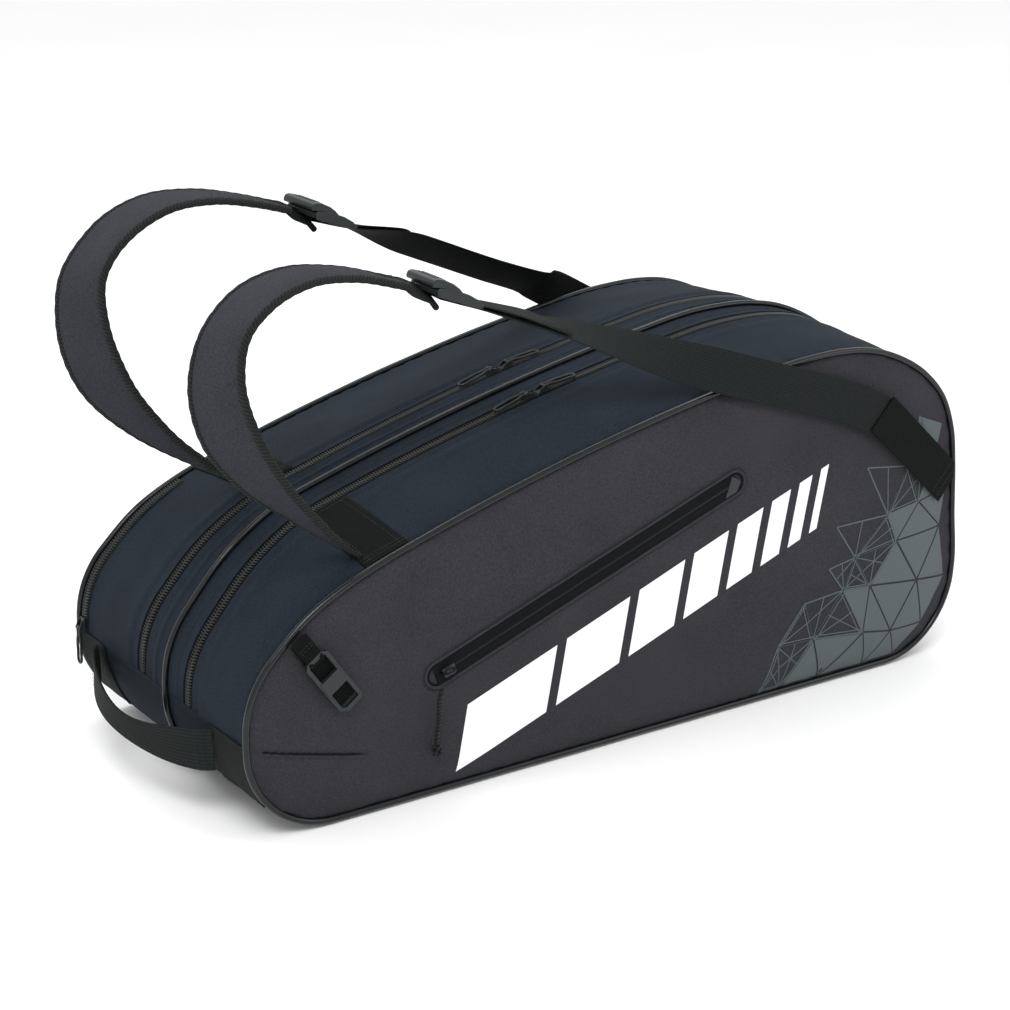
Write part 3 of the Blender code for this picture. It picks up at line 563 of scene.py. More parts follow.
def sewn(name, lines, body):
    """Stitches along lines, each given as (points, outward directions)."""
    places, along, out = [], [], []
    for line, outward in lines:
        line, outward = np.asarray(line, float), np.broadcast_to(outward, np.shape(line))
        distance = lengths(line)
        stops = np.arange(STITCH_PITCH / 2, distance[-1], STITCH_PITCH)
        places.append(resampled(stops, distance, line))
        out.append(unit(resampled(stops, distance, outward)))
        along.append(unit(resampled(stops, distance, runs(line))))
    shape = small_bar(STITCH_PITCH * 0.78, 0.00062, 0.00050)
    points, faces = scattered(shape, np.vstack(places), np.vstack(along), np.vstack(out))
    add_piece(name, points, faces, THREAD, body)


# ---------------------------------------------------------------- the bag's outline and skin
def arc(centre, radius, start_deg, end_deg, steps):
    """Points on an arc, with angles measured clockwise from the -X direction."""
    angles = [math.radians(start_deg + (end_deg - start_deg) * i / steps) for i in range(steps + 1)]
    return [(centre[0] - radius * math.cos(a), centre[1] + radius * math.sin(a)) for a in angles]


def top_arc_z(x):
    """Height of the bag's long top arc at x."""
    return TOP_ARC_CENTRE[1] + math.sqrt(TOP_ARC_RADIUS ** 2 - (x - TOP_ARC_CENTRE[0]) ** 2)


def outline():
    """Clockwise outline seen from the front, from the lower nose over the top to the lower tall end."""
    low_left = (-HALF_LENGTH + CORNER_RADIUS, BASE_Z + CORNER_RADIUS)
    low_right = (HALF_LENGTH - CORNER_RADIUS, BASE_Z + CORNER_RADIUS)
    points = arc(low_left, CORNER_RADIUS, -90.0, -12.0, 7)
    points.append((-HALF_LENGTH, SEAM_Z))
    points += arc(NOSE_CENTRE, NOSE_RADIUS, 3.0, NOSE_END_DEG, 6)
    points += [(-0.322, 0.1845), (-0.285, 0.2045)]
    for i in range(TOP_ARC_STEPS + 1):
        x = TOP_ARC_LEFT_X + (TOP_ARC_RIGHT_X - TOP_ARC_LEFT_X) * i / TOP_ARC_STEPS
        points.append((x, top_arc_z(x)))
    points += [(0.190, SHOULDER_Z - 0.0005), (0.225, SHOULDER_Z), (0.259, 0.3140), (0.295, 0.3015)]
    points += [(0.328, 0.2815), (0.353, 0.2550), (0.366, 0.2240), (0.3715, 0.1900), (0.3755, 0.1400)]
    points.append((HALF_LENGTH, SEAM_Z))
    points += arc(low_right, CORNER_RADIUS, 192.0, 270.0, 7)
    points += [(x, BASE_Z) for x in SOLE_XS]
    return points


RIM, MARKS = smooth_line(outline(), RIM_STEP, closed=True)
RIM_RUN = runs(RIM, closed=True)
RIM_NORMAL = np.stack([-RIM_RUN[:, 1], RIM_RUN[:, 0]], 1)
LEFT = MARKS[LEFT_SEAM]
RIGHT = MARKS[RIGHT_SEAM]
TOP_STATIONS = np.arange(LEFT, RIGHT + 1)
SOLE_STATIONS = np.arange(RIGHT, len(RIM) + LEFT + 1) % len(RIM)


def skin(stations, y, lift):
    """Points on the gusset: one row for each rim station, one column for each y."""
    x, z = RIM[stations, 0][:, None], RIM[stations, 1][:, None]
    nx, nz = RIM_NORMAL[stations, 0][:, None], RIM_NORMAL[stations, 1][:, None]
    y = np.broadcast_to(y, (len(stations), np.shape(y)[-1]))
    across = 1.0 - (y / HALF_WIDTH) ** 2
    rise = DOME * ease(x, -0.378, TOP_ARC_LEFT_X) + (TALL_END_DOME - DOME) * ease(x, TOP_ARC_RIGHT_X, 0.360)
    out = rise * ease(z, SEAM_Z - 0.040, SEAM_Z + 0.040) * across + lift
    fan = NOSE_FAN * (1.0 - ease(x, -0.372, TOP_ARC_LEFT_X)) * across ** 2
    return np.stack([x + nx * out, y * (1.0 + fan), z + nz * out], -1)


def sole_drop(stations):
    """How far the bottom strip drops below the outline, to give the flat underside."""
    return BASE_Z * (1.0 - ease(RIM[stations, 1], BASE_Z + 0.001, 0.060))[:, None]


def rim_out(stations):
    """Directions that point out of the rim at its stations."""
    normal = RIM_NORMAL[stations]
    return np.stack([normal[..., 0], np.zeros_like(normal[..., 0]), normal[..., 1]], -1)


def skin_line(stations, y, lift):
    """A line on the gusset at one y, with its outward directions."""
    return skin(stations, np.array([y]), lift)[:, 0], rim_out(stations)


def skin_row(station, ys, lift):
    """A line across the gusset at one station, with its outward direction."""
    return skin(np.array([station]), ys, lift)[0], rim_out(station)


def station_near(x):
    """The rim station on the bag's top nearest to x."""
    return int(TOP_STATIONS[np.argmin(np.abs(RIM[TOP_STATIONS, 0] - x) + 10.0 * (RIM[TOP_STATIONS, 1] < 0.15))])


# ---------------------------------------------------------------- gusset cloth
def cloth_relief(stations, ys, zip_edge, seam_edge):
    """Height of the gusset cloth: a folded lip at the zip, a sewn groove, puckers at the piping."""
    s = lengths(RIM[stations])[:, None]
    from_zip = np.abs(ys - zip_edge)[None]
    from_seam = np.abs(ys - seam_edge)[None]
    lip = 0.0007 * np.exp(-(from_zip / 0.0022) ** 2) - 0.0007 * np.exp(-((from_zip - 0.0080) / 0.0016) ** 2)
    swell = 0.0009 * np.exp(-((from_zip - 0.0150) / 0.0055) ** 2)
    pucker = np.sin(2.0 * math.pi * (s / 0.019 + 0.35 * np.sin(s / 0.055)))
    at_seam = 0.00055 * pucker * np.exp(-from_seam / 0.011)
    at_zip = 0.00030 * np.sin(2.0 * math.pi * s / 0.013) * np.exp(-np.abs(from_zip - 0.0080) / 0.004)
    tuck = -0.0022 * np.exp(-(from_seam / 0.0030) ** 2)
    soft = 0.0011 * ripple(s, ys[None], 0.060) + 0.0005 * ripple(s + 3.0, ys[None] * 1.4, 0.022)
    return lip + swell + at_seam + at_zip + tuck + soft * ease(from_zip, 0.0, 0.030) * ease(from_seam, 0.0, 0.02)


def add_gusset(name, ys, lift, body, node):
    """A strip of the gusset's cloth from its first y to its last, made as a closed sheet."""
    piece = add_cloth(name, skin(TOP_STATIONS, ys, lift), skin(TOP_STATIONS, ys, lift - CLOTH), NAVY, body, node)


def make_gussets():
    seam = HALF_WIDTH - SEAM_INSET
    for prefix, zip_edge, seam_edge, columns in (("front", FRONT_ZIP_Y - LIP_HALF, -seam, 44),
                                                 ("rear", REAR_ZIP_Y + LIP_HALF, seam, 54)):
        ys = np.linspace(zip_edge, seam_edge, columns)
        add_gusset(prefix + "_gusset_cloth", ys, cloth_relief(TOP_STATIONS, ys, zip_edge, seam_edge),
                   prefix + "_shell", prefix + "_gusset")
    ys = np.linspace(FRONT_ZIP_Y + LIP_HALF, REAR_ZIP_Y - LIP_HALF, 40)
    lift = np.zeros((len(TOP_STATIONS), len(ys)))
    for edge in (ys[0], ys[-1]):
        lift = lift + cloth_relief(TOP_STATIONS, ys, edge, CENTRE_Y) * (np.abs(ys - edge) < np.abs(ys - CENTRE_Y))
    add_gusset("centre_gusset_cloth", ys, lift, "bag_body", "centre_gusset")
    reach = LIP_HALF + STITCH_INSET
    rows = [skin_line(TOP_STATIONS, zip_y + side * reach, -0.0005)
            for zip_y in (FRONT_ZIP_Y, REAR_ZIP_Y) for side in (-1.0, 1.0)]
    sewn("front_gusset_stitches", rows[:1], "front_shell")
    sewn("rear_gusset_stitches", rows[3:], "rear_shell")
    sewn("centre_gusset_stitches", rows[1:3], "bag_body")


def make_bottom():
    """The bottom strip wraps both lower corners; its upper edges are turned under and top-stitched."""
    seam = HALF_WIDTH - SEAM_INSET
    ys = np.linspace(-seam, seam, 90)
    stations = SOLE_STATIONS
    s = lengths(RIM[stations])[:, None]
    total = s[-1]
    from_end = np.minimum(s, total - s)
    flat = ease(RIM[stations, 1][:, None], 0.012, 0.055)
    lip = 0.0007 * np.exp(-(from_end / 0.0022) ** 2) - 0.0006 * np.exp(-((from_end - 0.0060) / 0.0015) ** 2)
    from_seam = np.minimum(ys + seam, seam - ys)[None]
    tuck = -0.0016 * np.exp(-(from_seam / 0.0030) ** 2)
    pucker = 0.0005 * np.sin(2.0 * math.pi * s / 0.021) * np.exp(-from_seam / 0.012) * flat
    crease = 0.0014 * ripple(s, ys[None], 0.050) * flat * ease(from_end, 0.0, 0.02)
    lift = lip + (tuck + pucker) * (0.25 + 0.75 * flat) + crease + sole_drop(stations)
    top = skin(stations, ys, lift)
    top[..., 2] = np.maximum(top[..., 2], 0.0)
    under = skin(stations, ys, lift - CLOTH)
    under[..., 2] = np.maximum(under[..., 2], CLOTH)
    piece = add_cloth("bottom_cloth", top, under, NAVY, "bag_body", "bottom_strip")
    line_ys = np.linspace(-seam + 0.004, seam - 0.004, 60)
    sewn("bottom_seam_stitches", [skin_row(station, line_ys, float(sole_drop([station])[0, 0]) + 0.0001)
                                  for station in (stations[2], stations[-3])], "bag_body")


# ---------------------------------------------------------------- zips
def zip_tape(name, stations, y, low, high, half, body, node):
    """A zip's tape with a slight ridge along its middle."""
    ys = np.linspace(y - half, y + half, 9)
    ridge = 0.0002 * np.cos((ys - y) / half * math.pi)
    add_cloth(name, skin(stations, ys, high + ridge), skin(stations, ys, low), TAPE, body, node)


def coil_teeth(name, line, outward, body, half=COIL_HALF, pitch=COIL_PITCH):
    """The coil's turns: a row of small rounded bars across the tape, alternately shifted to each side."""
    distance = lengths(line)
    stops = np.arange(pitch / 2, distance[-1], pitch / 2)
    places = resampled(stops, distance, line)
    out = unit(resampled(stops, distance, outward))
    run = runs(places)
    across = unit(np.cross(out, run))
    side = np.where(np.arange(len(stops)) % 2 == 0, 1.0, -1.0)[:, None]
    lean = unit(across + run * 0.22 * side)
    shape = small_bar(half * 1.55, pitch * 0.46, 0.00105)
    points, faces = scattered(shape, places + across * side * half * 0.36, lean, out)
    add_piece(name, points, faces, COIL, body)


def make_zips():
    for prefix, y in (("front", FRONT_ZIP_Y), ("rear", REAR_ZIP_Y)):
        zip_tape(prefix + "_zip_tape", TOP_STATIONS, y, -0.0016, -0.0006, LIP_HALF + 0.0008, "bag_body",
                 prefix + "_zip")
        coil_teeth(prefix + "_zip_coil", *skin_line(TOP_STATIONS, y, 0.0002), "bag_body")
    side = TOP_STATIONS[(RIM[TOP_STATIONS, 0] < -0.280) & (RIM[TOP_STATIONS, 1] < 0.212)]
    zip_tape("side_zip_tape", side, SIDE_ZIP_Y, GAP, GAP + 0.0008, ZIP_HALF, "rear_shell", "side_zip")
    coil_teeth("side_zip_coil", *skin_line(side, SIDE_ZIP_Y, 0.0012), "rear_shell")
    edges = [skin_line(side, SIDE_ZIP_Y + k * (ZIP_HALF + 0.0012), 0.0008) for k in (-1.0, 1.0)]
    sewn("side_zip_stitches", edges, "rear_shell")


# ---------------------------------------------------------------- piping
def make_piping():
    """The coated cords round both panels and along the middle strip."""
    thin = PIPING_RADIUS * PIPING_SHARE
    s = np.arange(len(RIM)) * RIM_STEP
    size = 1.0 + 0.030 * np.sin(s / 0.021 + 1.5 * np.sin(s / 0.083))
    section = rounded(thin, thin, 20, 2.0)[None] * size[:, None, None]
    for prefix, y in (("front", -HALF_WIDTH), ("rear", HALF_WIDTH)):
        line = np.stack([RIM[:, 0], np.full(len(RIM), y), RIM[:, 1]], 1)
        add_tube(prefix + "_piping_cord", line, np.broadcast_to(ACROSS, line.shape), rim_out(slice(None)), section,
                 PIPING, prefix + "_shell", prefix + "_piping", closed=True)
    stations = np.arange(MARKS[LEFT_SEAM - 4], MARKS[RIGHT_SEAM + 4] + 1)
    line, out = skin_line(stations, CENTRE_Y, CENTRE_PIPING_RADIUS * 0.75 + sole_drop(stations))
    add_tube("centre_piping_cord", line, np.broadcast_to(ACROSS, line.shape), out,
             rounded(CENTRE_PIPING_RADIUS, CENTRE_PIPING_RADIUS, 16, 2.0), PIPING, "bag_body", "centre_piping")


# ---------------------------------------------------------------- panels
PANEL_RIM = RIM - RIM_NORMAL * PANEL_INSET
PANEL_REACH = PANEL_RIM - PANEL_CENTRE
PANEL_ANGLE = np.arctan2(PANEL_REACH[:, 1], PANEL_REACH[:, 0])
PANEL_RADIUS = np.linalg.norm(PANEL_REACH, axis=1)
ANGLE_ORDER = np.argsort(PANEL_ANGLE)
DART = (np.array([-0.366, 0.080]), np.array([-0.274, 0.057]))


def panel_share(x, z):
    """0 at the panel's middle and 1 on its edge."""
    angle = np.arctan2(z - PANEL_CENTRE[1], x - PANEL_CENTRE[0])
    edge = np.interp(angle, PANEL_ANGLE[ANGLE_ORDER], PANEL_RADIUS[ANGLE_ORDER], period=2.0 * math.pi)
    return np.hypot(x - PANEL_CENTRE[0], z - PANEL_CENTRE[1]) / edge


def panel_depth(x, z, dart):
    """How far the panel's face stands from the middle plane; only the front one has a dart."""
    share = panel_share(x, z)
    crown = PANEL_CROWN * (1.0 - np.clip((share - 0.75) / 0.25, 0.0, 1.0) ** 3.2)
    depth = PANEL_FACE - PANEL_CROWN + crown
    angle = np.arctan2(z - PANEL_CENTRE[1], x - PANEL_CENTRE[0])
    near_edge = np.exp(-(1.0 - share) / 0.045)
    depth += 0.00045 * near_edge * np.sin(angle * 95.0 + 2.0 * np.sin(angle * 7.0))
    depth += 0.0007 * (ripple(x, z, 0.085) - 1.0) * ease(1.0 - share, 0.0, 0.25)
    if dart:
        start, end = DART
        run, reach = unit(end - start), np.linalg.norm(end - start)
        along = (x - start[0]) * run[0] + (z - start[1]) * run[1]
        off = np.abs((x - start[0]) * -run[1] + (z - start[1]) * run[0])
        inside = ease(along, -0.020, 0.004) * (1.0 - ease(along, reach - 0.004, reach + 0.006))
        depth -= 0.0021 * np.exp(-(off / 0.0014) ** 2) * inside
        depth += 0.0009 * np.exp(-((off - 0.0050) / 0.0038) ** 2) * inside
    return depth


def on_panel(x, z, side, proud=0.0):
    """Points on the front or rear panel's face."""
    x, z = np.asarray(x, float), np.asarray(z, float)
    return np.stack([x, side * (panel_depth(x, z, side < 0) + proud), z], -1)


def make_panel(prefix, side):
    """The front or rear panel: a crowned, foam-backed face closed by a flat back."""
    shares = np.concatenate([np.linspace(1.0, 0.74, 40), np.linspace(0.725, 0.03, 46)])
    rings = PANEL_CENTRE + PANEL_REACH[None] * shares[:, None, None]
    face = on_panel(rings[..., 0], rings[..., 1], side)
    rim = face[0].copy()
    rim[:, 1] = side * (PANEL_FACE - PANEL_CROWN - 0.005)
    hubs = np.repeat(on_panel(PANEL_CENTRE[:1], PANEL_CENTRE[1:], side), 2, axis=0)
    hubs[0, 1] = rim[0, 1]
    points, faces = fanned(np.concatenate([rim[None], face]), hubs)
    piece = add_piece(prefix + "_panel_cloth", points, faces, CHARCOAL, prefix + "_shell", None, prefix + "_panel",
                      70.0)


def four_sided(shape):
    """A quad as it is, and a triangle as the three quads that meet at its middle."""
    if len(shape) == 4:
        return [shape]
    centre = shape.mean(axis=0)
    halves = [(shape[k] + shape[(k + 1) % 3]) / 2 for k in range(3)]
    return [(shape[k], halves[k], centre, halves[k - 1]) for k in range(3)]


def raised(name, outlines, paint, proud):
    """Printed shapes on the front panel, each a convex outline in x and z, cut into small quads."""
    points, faces = [], []
    for a, b, c, d in (cell for shape in outlines for cell in four_sided(np.asarray(shape, float))):
        rows = max(2, int(max(np.linalg.norm(b - a), np.linalg.norm(c - d)) / PRINT_CELL) + 1)
        columns = max(2, int(max(np.linalg.norm(d - a), np.linalg.norm(c - b)) / PRINT_CELL) + 1)
        u, v = np.meshgrid(np.linspace(0, 1, rows), np.linspace(0, 1, columns), indexing="ij")
        u, v = u[..., None], v[..., None]
        flat = a * (1 - u) * (1 - v) + b * u * (1 - v) + c * u * v + d * (1 - u) * v
        top = on_panel(flat[..., 0], flat[..., 1], -1.0, proud)
        under = top + ACROSS * PRINT_THICKNESS
        start = sum(len(p) for p in points)
        faces += (quads(rows, 2 * columns)[0] + start).tolist()
        for row in (0, rows - 1):
            ring = [start + row * 2 * columns + j for j in range(2 * columns)]
            faces += [[ring[j], ring[j + 1], ring[-j - 2], ring[-j - 1]] for j in range(columns - 1)]
        points.append(slab(top, under).reshape(-1, 3))
    add_piece(name, np.vstack(points), faces, paint, "front_shell")


def lattice_points():
    """Corners of a loose triangular lattice over the panel's tall end."""
    grid = {}
    for i in range(8):
        for j in range(9):
            x = 0.095 + 0.046 * i + 0.023 * (j % 2) + 0.009 * math.sin(2.1 * i + 1.3 * j)
            z = 0.004 + 0.0395 * j + 0.008 * math.sin(1.7 * j - 0.9 * i + 1.0)
            grid[i, j] = np.array([x, z])
    return grid


def print_edge(z):
    """The x at which the print's slanting edge lies."""
    return float(np.interp(z, (0.0, 0.030, 0.130, 0.270), (0.095, 0.155, 0.245, 0.335)))


def inside_print(point):
    """True right of the print's slanting edge and inside the panel."""
    x, z = point
    return x > print_edge(z) and float(panel_share(np.array(x), np.array(z))) < 0.985


def drawn_in(point, limit=PRINT_SHARE):
    """Pull a point in x and z inside the panel's edge."""
    share = float(panel_share(np.array(point[0]), np.array(point[1])))
    return point if share < limit else PANEL_CENTRE + (point - PANEL_CENTRE) * (limit / share)


def stroke(a, b, width):
    """The four corners of a straight printed line."""
    run = unit(b - a)
    off = np.array([-run[1], run[0]]) * width / 2
    return [a + off, b + off, b - off, a - off]


def make_prints():
    """The plain lattice at the tall end and the slanting bars on the front panel."""
    grid = lattice_points()
    lines, patches, triangles = [], [], []
    for i in range(7):
        for j in range(8):
            lean = j % 2
            right_up = grid[i + lean, j + 1]
            triangles.append((grid[i, j], grid[i + 1, j], right_up))
            if i + lean + 1 < 8:
                triangles.append((grid[i + 1, j], grid[i + lean + 1, j + 1], right_up))
    for number, corners in enumerate(triangles):
        centre = sum(corners) / 3
        if not inside_print(centre):
            continue
        corners = [drawn_in(c) for c in corners]
        if min(np.linalg.norm(corners[k] - corners[k - 1]) for k in range(3)) < 0.010:
            continue
        depth = centre[0] - print_edge(centre[1])
        if depth > 0.055 and centre[1] < 0.175 or depth > 0.040 and number % 5 == 0:
            patches.append([centre + (c - centre) * 0.935 for c in corners])
            continue
        for k in range(3):
            a, b = corners[k - 1], corners[k]
            lines.append(stroke(a, b, 0.0013))
            if number % 2 == 0:
                off = (centre - (a + b) / 2) * 0.20
                lines.append(stroke(a + off, b + off, 0.0010))
        for k in range(1 + number % 3):
            lines.append(stroke(corners[k], (corners[k - 1] + corners[k - 2]) / 2, 0.0010))
    raised("panel_lattice_print", patches + lines, PRINT_GREY, 0.00030)
    along, up = (np.array([math.cos(math.radians(turn)), math.sin(math.radians(turn))]) for turn in (20.0, 80.0))
    bars, place = [], 0.0
    for width in BAR_WIDTHS:
        a = BARS_START + along * place
        b, rise = a + along * width, up * BAR_HEIGHT
        bars.append([a, b, b + rise, a + rise])
        place += width + BAR_GAP
    raised("panel_speed_bars", bars, PRINT_WHITE, 0.00035)


def make_dart_stitches():
    start, end = DART
    off = np.array([0.0, -0.0036])
    rows = (np.linspace(start + off, end + off, 30),
            np.linspace(end + np.array([0.0015, 0.0032]), end + np.array([0.0015, -0.0046]), 8))
    sewn("dart_stitches", [(on_panel(row[:, 0], row[:, 1], -1.0, 0.0001), OUTWARD) for row in rows], "front_shell")
    # A thin dark tube along the dart: painted shade, standing in for the shadow in the dart's crease.
    fold = np.linspace(start, end, 60)
    path = np.stack([fold[:, 0], 0.0003 - panel_depth(fold[:, 0], fold[:, 1], False), fold[:, 1]], 1)
    out = np.broadcast_to(OUTWARD, path.shape)
    size = ease(np.linspace(1.0, 0.0, 60), 0.0, 0.15)[:, None, None] * 0.85 + 0.15
    add_tube("dart_crease_painted_shade", path, unit(np.cross(runs(path), out)), out, rounded(0.0006, 0.0006, 10) * size, WEBBING,
             "front_shell")


# ---------------------------------------------------------------- linings and board
def lining(node, inset, body):
    """A hanging lining sheet with the bag's outline, softly creased."""
    y = middle(node).y
    shares = np.linspace(1.0, 0.05, 40)
    edge = RIM - RIM_NORMAL * inset
    rings = PANEL_CENTRE + (edge - PANEL_CENTRE)[None] * shares[:, None, None]
    free = ease(1.0 - shares, 0.0, 0.3)[:, None]
    wave_y = 0.0009 * ripple(rings[..., 0], rings[..., 1] * 0.6, 0.045) * free
    front = np.stack([rings[..., 0], y + wave_y - CLOTH / 2, rings[..., 1]], -1)
    hubs = [[PANEL_CENTRE[0], y + k * CLOTH / 2, PANEL_CENTRE[1]] for k in (-1.0, 1.0)]
    points, faces = fanned(np.concatenate([front[::-1], front + ACROSS * CLOTH]), hubs)
    add_piece(node + "_cloth", points, faces, LINING, body, None, node, 60.0)


def make_linings():
    lining("divider", 0.0036, "bag_body")
    lining("front_lining", 0.0062, "front_shell")
    lining("pocket_wall", 0.0062, "rear_shell")
    low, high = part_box("pocket_pouch")
    x, t = np.meshgrid(np.linspace(low.x, high.x, 50), np.linspace(0.0, 1.0, 30), indexing="ij")
    share = (x - low.x) / (high.x - low.x)
    bottom, top = 0.020 + 0.020 * share, 0.118 + 0.110 * share
    z = bottom + (top - bottom) * t
    y = middle("pocket_pouch").y + 0.0003 * ripple(x, z, 0.03)
    front = np.stack([x, y - 0.0005, z], -1)
    add_cloth("pocket_pouch_cloth", front, front + ACROSS * 0.001, LINING, "front_shell", "pocket_pouch")
    board = frame["nodes"]["base_board"]
    board.data.materials.clear()
    board.data.materials.append(BOARD)


# ---------------------------------------------------------------- hard little parts
class Part:
    """Boxes, rods and rings put together in one place, then added as one bevelled piece."""

    def __init__(self, origin, along, out, shrink=1.0):
        self.origin = np.array(origin, float)
        self.shrink = shrink
        self.along, self.out = unit(along), unit(out)
        self.side = np.cross(self.along, self.out)
        self.points, self.faces = [], []

    def place(self, local):
        u, v, w = np.moveaxis(np.asarray(local, float), -1, 0)
        return (self.origin + u[..., None] * self.shrink * self.along + v[..., None] * self.side
                + w[..., None] * self.out)

    def block(self, u, v, w):
        """A box from its ranges along, across and out."""
        corners = [(a, b, c) for a in u for b in v for c in w]
        self.join(self.place(corners), [[0, 1, 3, 2], [4, 6, 7, 5], [0, 4, 5, 1], [2, 3, 7, 6], [0, 2, 6, 4],
                                        [1, 5, 7, 3]])

    def join(self, points, faces):
        start = sum(len(p) for p in self.points)
        self.points.append(np.asarray(points, float).reshape(-1, 3))
        self.faces += [[start + k for k in face] for face in faces]

    def rod(self, centres, radius, sides, closed=False, flat=1.0):
        """A round rod through local points; `flat` squeezes it across."""
        line = self.place(centres)
        run = runs(line, closed)
        guide = min((self.out, self.side, self.along), key=lambda g: float(np.abs(run @ g).max()))
        side = unit(np.cross(run, guide))
        section = rounded(radius * flat, radius, sides, 2.0)
        self.join(*skinned([sweep(line, side, np.cross(side, run), section)], closed)[:2])

    def plate(self, profile, across):
        """A plate whose (u, w) outline is run across from one side to the other."""
        count = len(profile)
        points = [(u, v, w) for v in across for u, w in profile]
        faces = quads(2, count)[0].tolist() + [list(range(count)), [count + j for j in reversed(range(count))]]
        self.join(self.place(points), faces)

    def add(self, name, body, node, bevel=0.0003, paint=PLASTIC, slot="black_plastic"):
        piece = add_piece(name, np.vstack(self.points), self.faces, paint, body, None, node, 35.0)
        modifier = piece.modifiers.new("rounded edges", "BEVEL")
        modifier.width = bevel
        modifier.segments = 2
        modifier.limit_method = "ANGLE"
        modifier.angle_limit = math.radians(35.0)
        modifier.harden_normals = True


def add_slider(prefix, end, along, out, tilt):
    """A zip slider with its pin and its puller, an open loop, on the CAD's own pivot."""
    half = SLIDER_WIDTH / 2
    behind, above = SLIDER_PIN
    pivot = np.array(joint(f"{prefix}_puller{end}_lift")["pos_m"])
    part = Part(pivot + along * behind - out * above, along, out)
    part.plate(SLIDER_SHELL, (-half, half))
    cheek = [(0.0, 0.0018), (-0.0008, 0.0052), (-0.0030, 0.0068), (-0.0052, 0.0056), (-0.0090, 0.0042),
             (-SLIDER_LENGTH + 0.0008, 0.0020)]
    for side in (-1.0, 1.0):
        part.plate(cheek, (side * half * 0.97, side * (half - 0.0014)))
    part.rod([(-behind, v, above) for v in np.linspace(-half, half, 4)], 0.0009, 10)
    part.add(f"{prefix}_slider_body{end}", f"{prefix}_slider{end}", f"{prefix}_slider{end}")
    lying = along * math.cos(tilt) - out * math.sin(tilt)
    up = out * math.cos(tilt) + along * math.sin(tilt)
    pull = Part(part.place((-behind, 0.0, above)), lying, up)
    neck, wide = 0.0018, PULLER_WIDTH / 2 - 0.0011
    loop = [(-0.0017, 0.0), (-0.0010, neck * 0.8), (0.0054, neck), (0.0114, wide), (0.0240, wide),
            (PULLER_LENGTH - 0.0042, wide), (PULLER_LENGTH - 0.0019, wide * 0.66), (PULLER_LENGTH - 0.0011, 0.0)]
    loop += [(u, -v) for u, v in loop[-2:0:-1]]
    flat, _ = smooth_line(loop, 0.0009, closed=True)
    pull.rod([(u, v, 0.0) for u, v in flat], 0.0013, 10, closed=True, flat=0.80)
    pull.add(f"{prefix}_puller_loop{end}", f"{prefix}_puller{end}", f"{prefix}_puller{end}", 0.00018)


def make_sliders():
    """The four sliders on the main zips' top arc, and the one on the back pocket's zip."""
    for prefix, middle_x in SLIDER_MIDDLES:
        for facing, end in ((-1.0, "_left"), (1.0, "_right")):
            x = middle_x + facing * SLIDER_SPREAD
            normal = unit([x - TOP_ARC_CENTRE[0], top_arc_z(x) - TOP_ARC_CENTRE[1]])
            along = np.array([normal[1], 0.0, -normal[0]]) * facing
            add_slider(prefix, end, along, np.array([normal[0], 0.0, normal[1]]), PULLER_TILT)
    add_slider("side", "", np.array([0.0, 0.0, -1.0]), np.array([-1.0, 0.0, 0.0]), 0.0)


# ---------------------------------------------------------------- front pocket
POCKET_ALONG = np.array([math.cos(POCKET_ZIP_ANGLE), math.sin(POCKET_ZIP_ANGLE)])
POCKET_ACROSS = np.array([-math.sin(POCKET_ZIP_ANGLE), math.cos(POCKET_ZIP_ANGLE)])


def pocket_point(u, v, proud):
    """Local (along the zip, across it) on the front panel."""
    flat = np.array(POCKET_ZIP_START) + np.multiply.outer(u, POCKET_ALONG) + np.multiply.outer(v, POCKET_ACROSS)
    return np.stack([flat[..., 0], np.full(flat.shape[:-1], -PANEL_FACE) - proud, flat[..., 1]], -1)


def welt_path(half, spacing, proud):
    """A closed line round the pocket's zip, `half` away from its middle, with round ends."""
    length, turn = POCKET_ZIP_LENGTH, np.linspace(0.0, math.pi, 14)
    share = np.concatenate([[0.004, 0.012, 0.03], np.linspace(0.06, 0.94, 8), [0.97, 0.988, 0.996]])
    ring = np.vstack([np.stack([-half * np.sin(turn), half * np.cos(turn)], 1),
                      np.stack([length * share, np.full(len(share), -half)], 1),
                      np.stack([length + half * np.sin(turn), -half * np.cos(turn)], 1),
                      np.stack([length - length * share, np.full(len(share), half)], 1)])
    ring = smooth_line(ring, spacing, closed=True)[0]
    return pocket_point(ring[:, 0], ring[:, 1], proud)


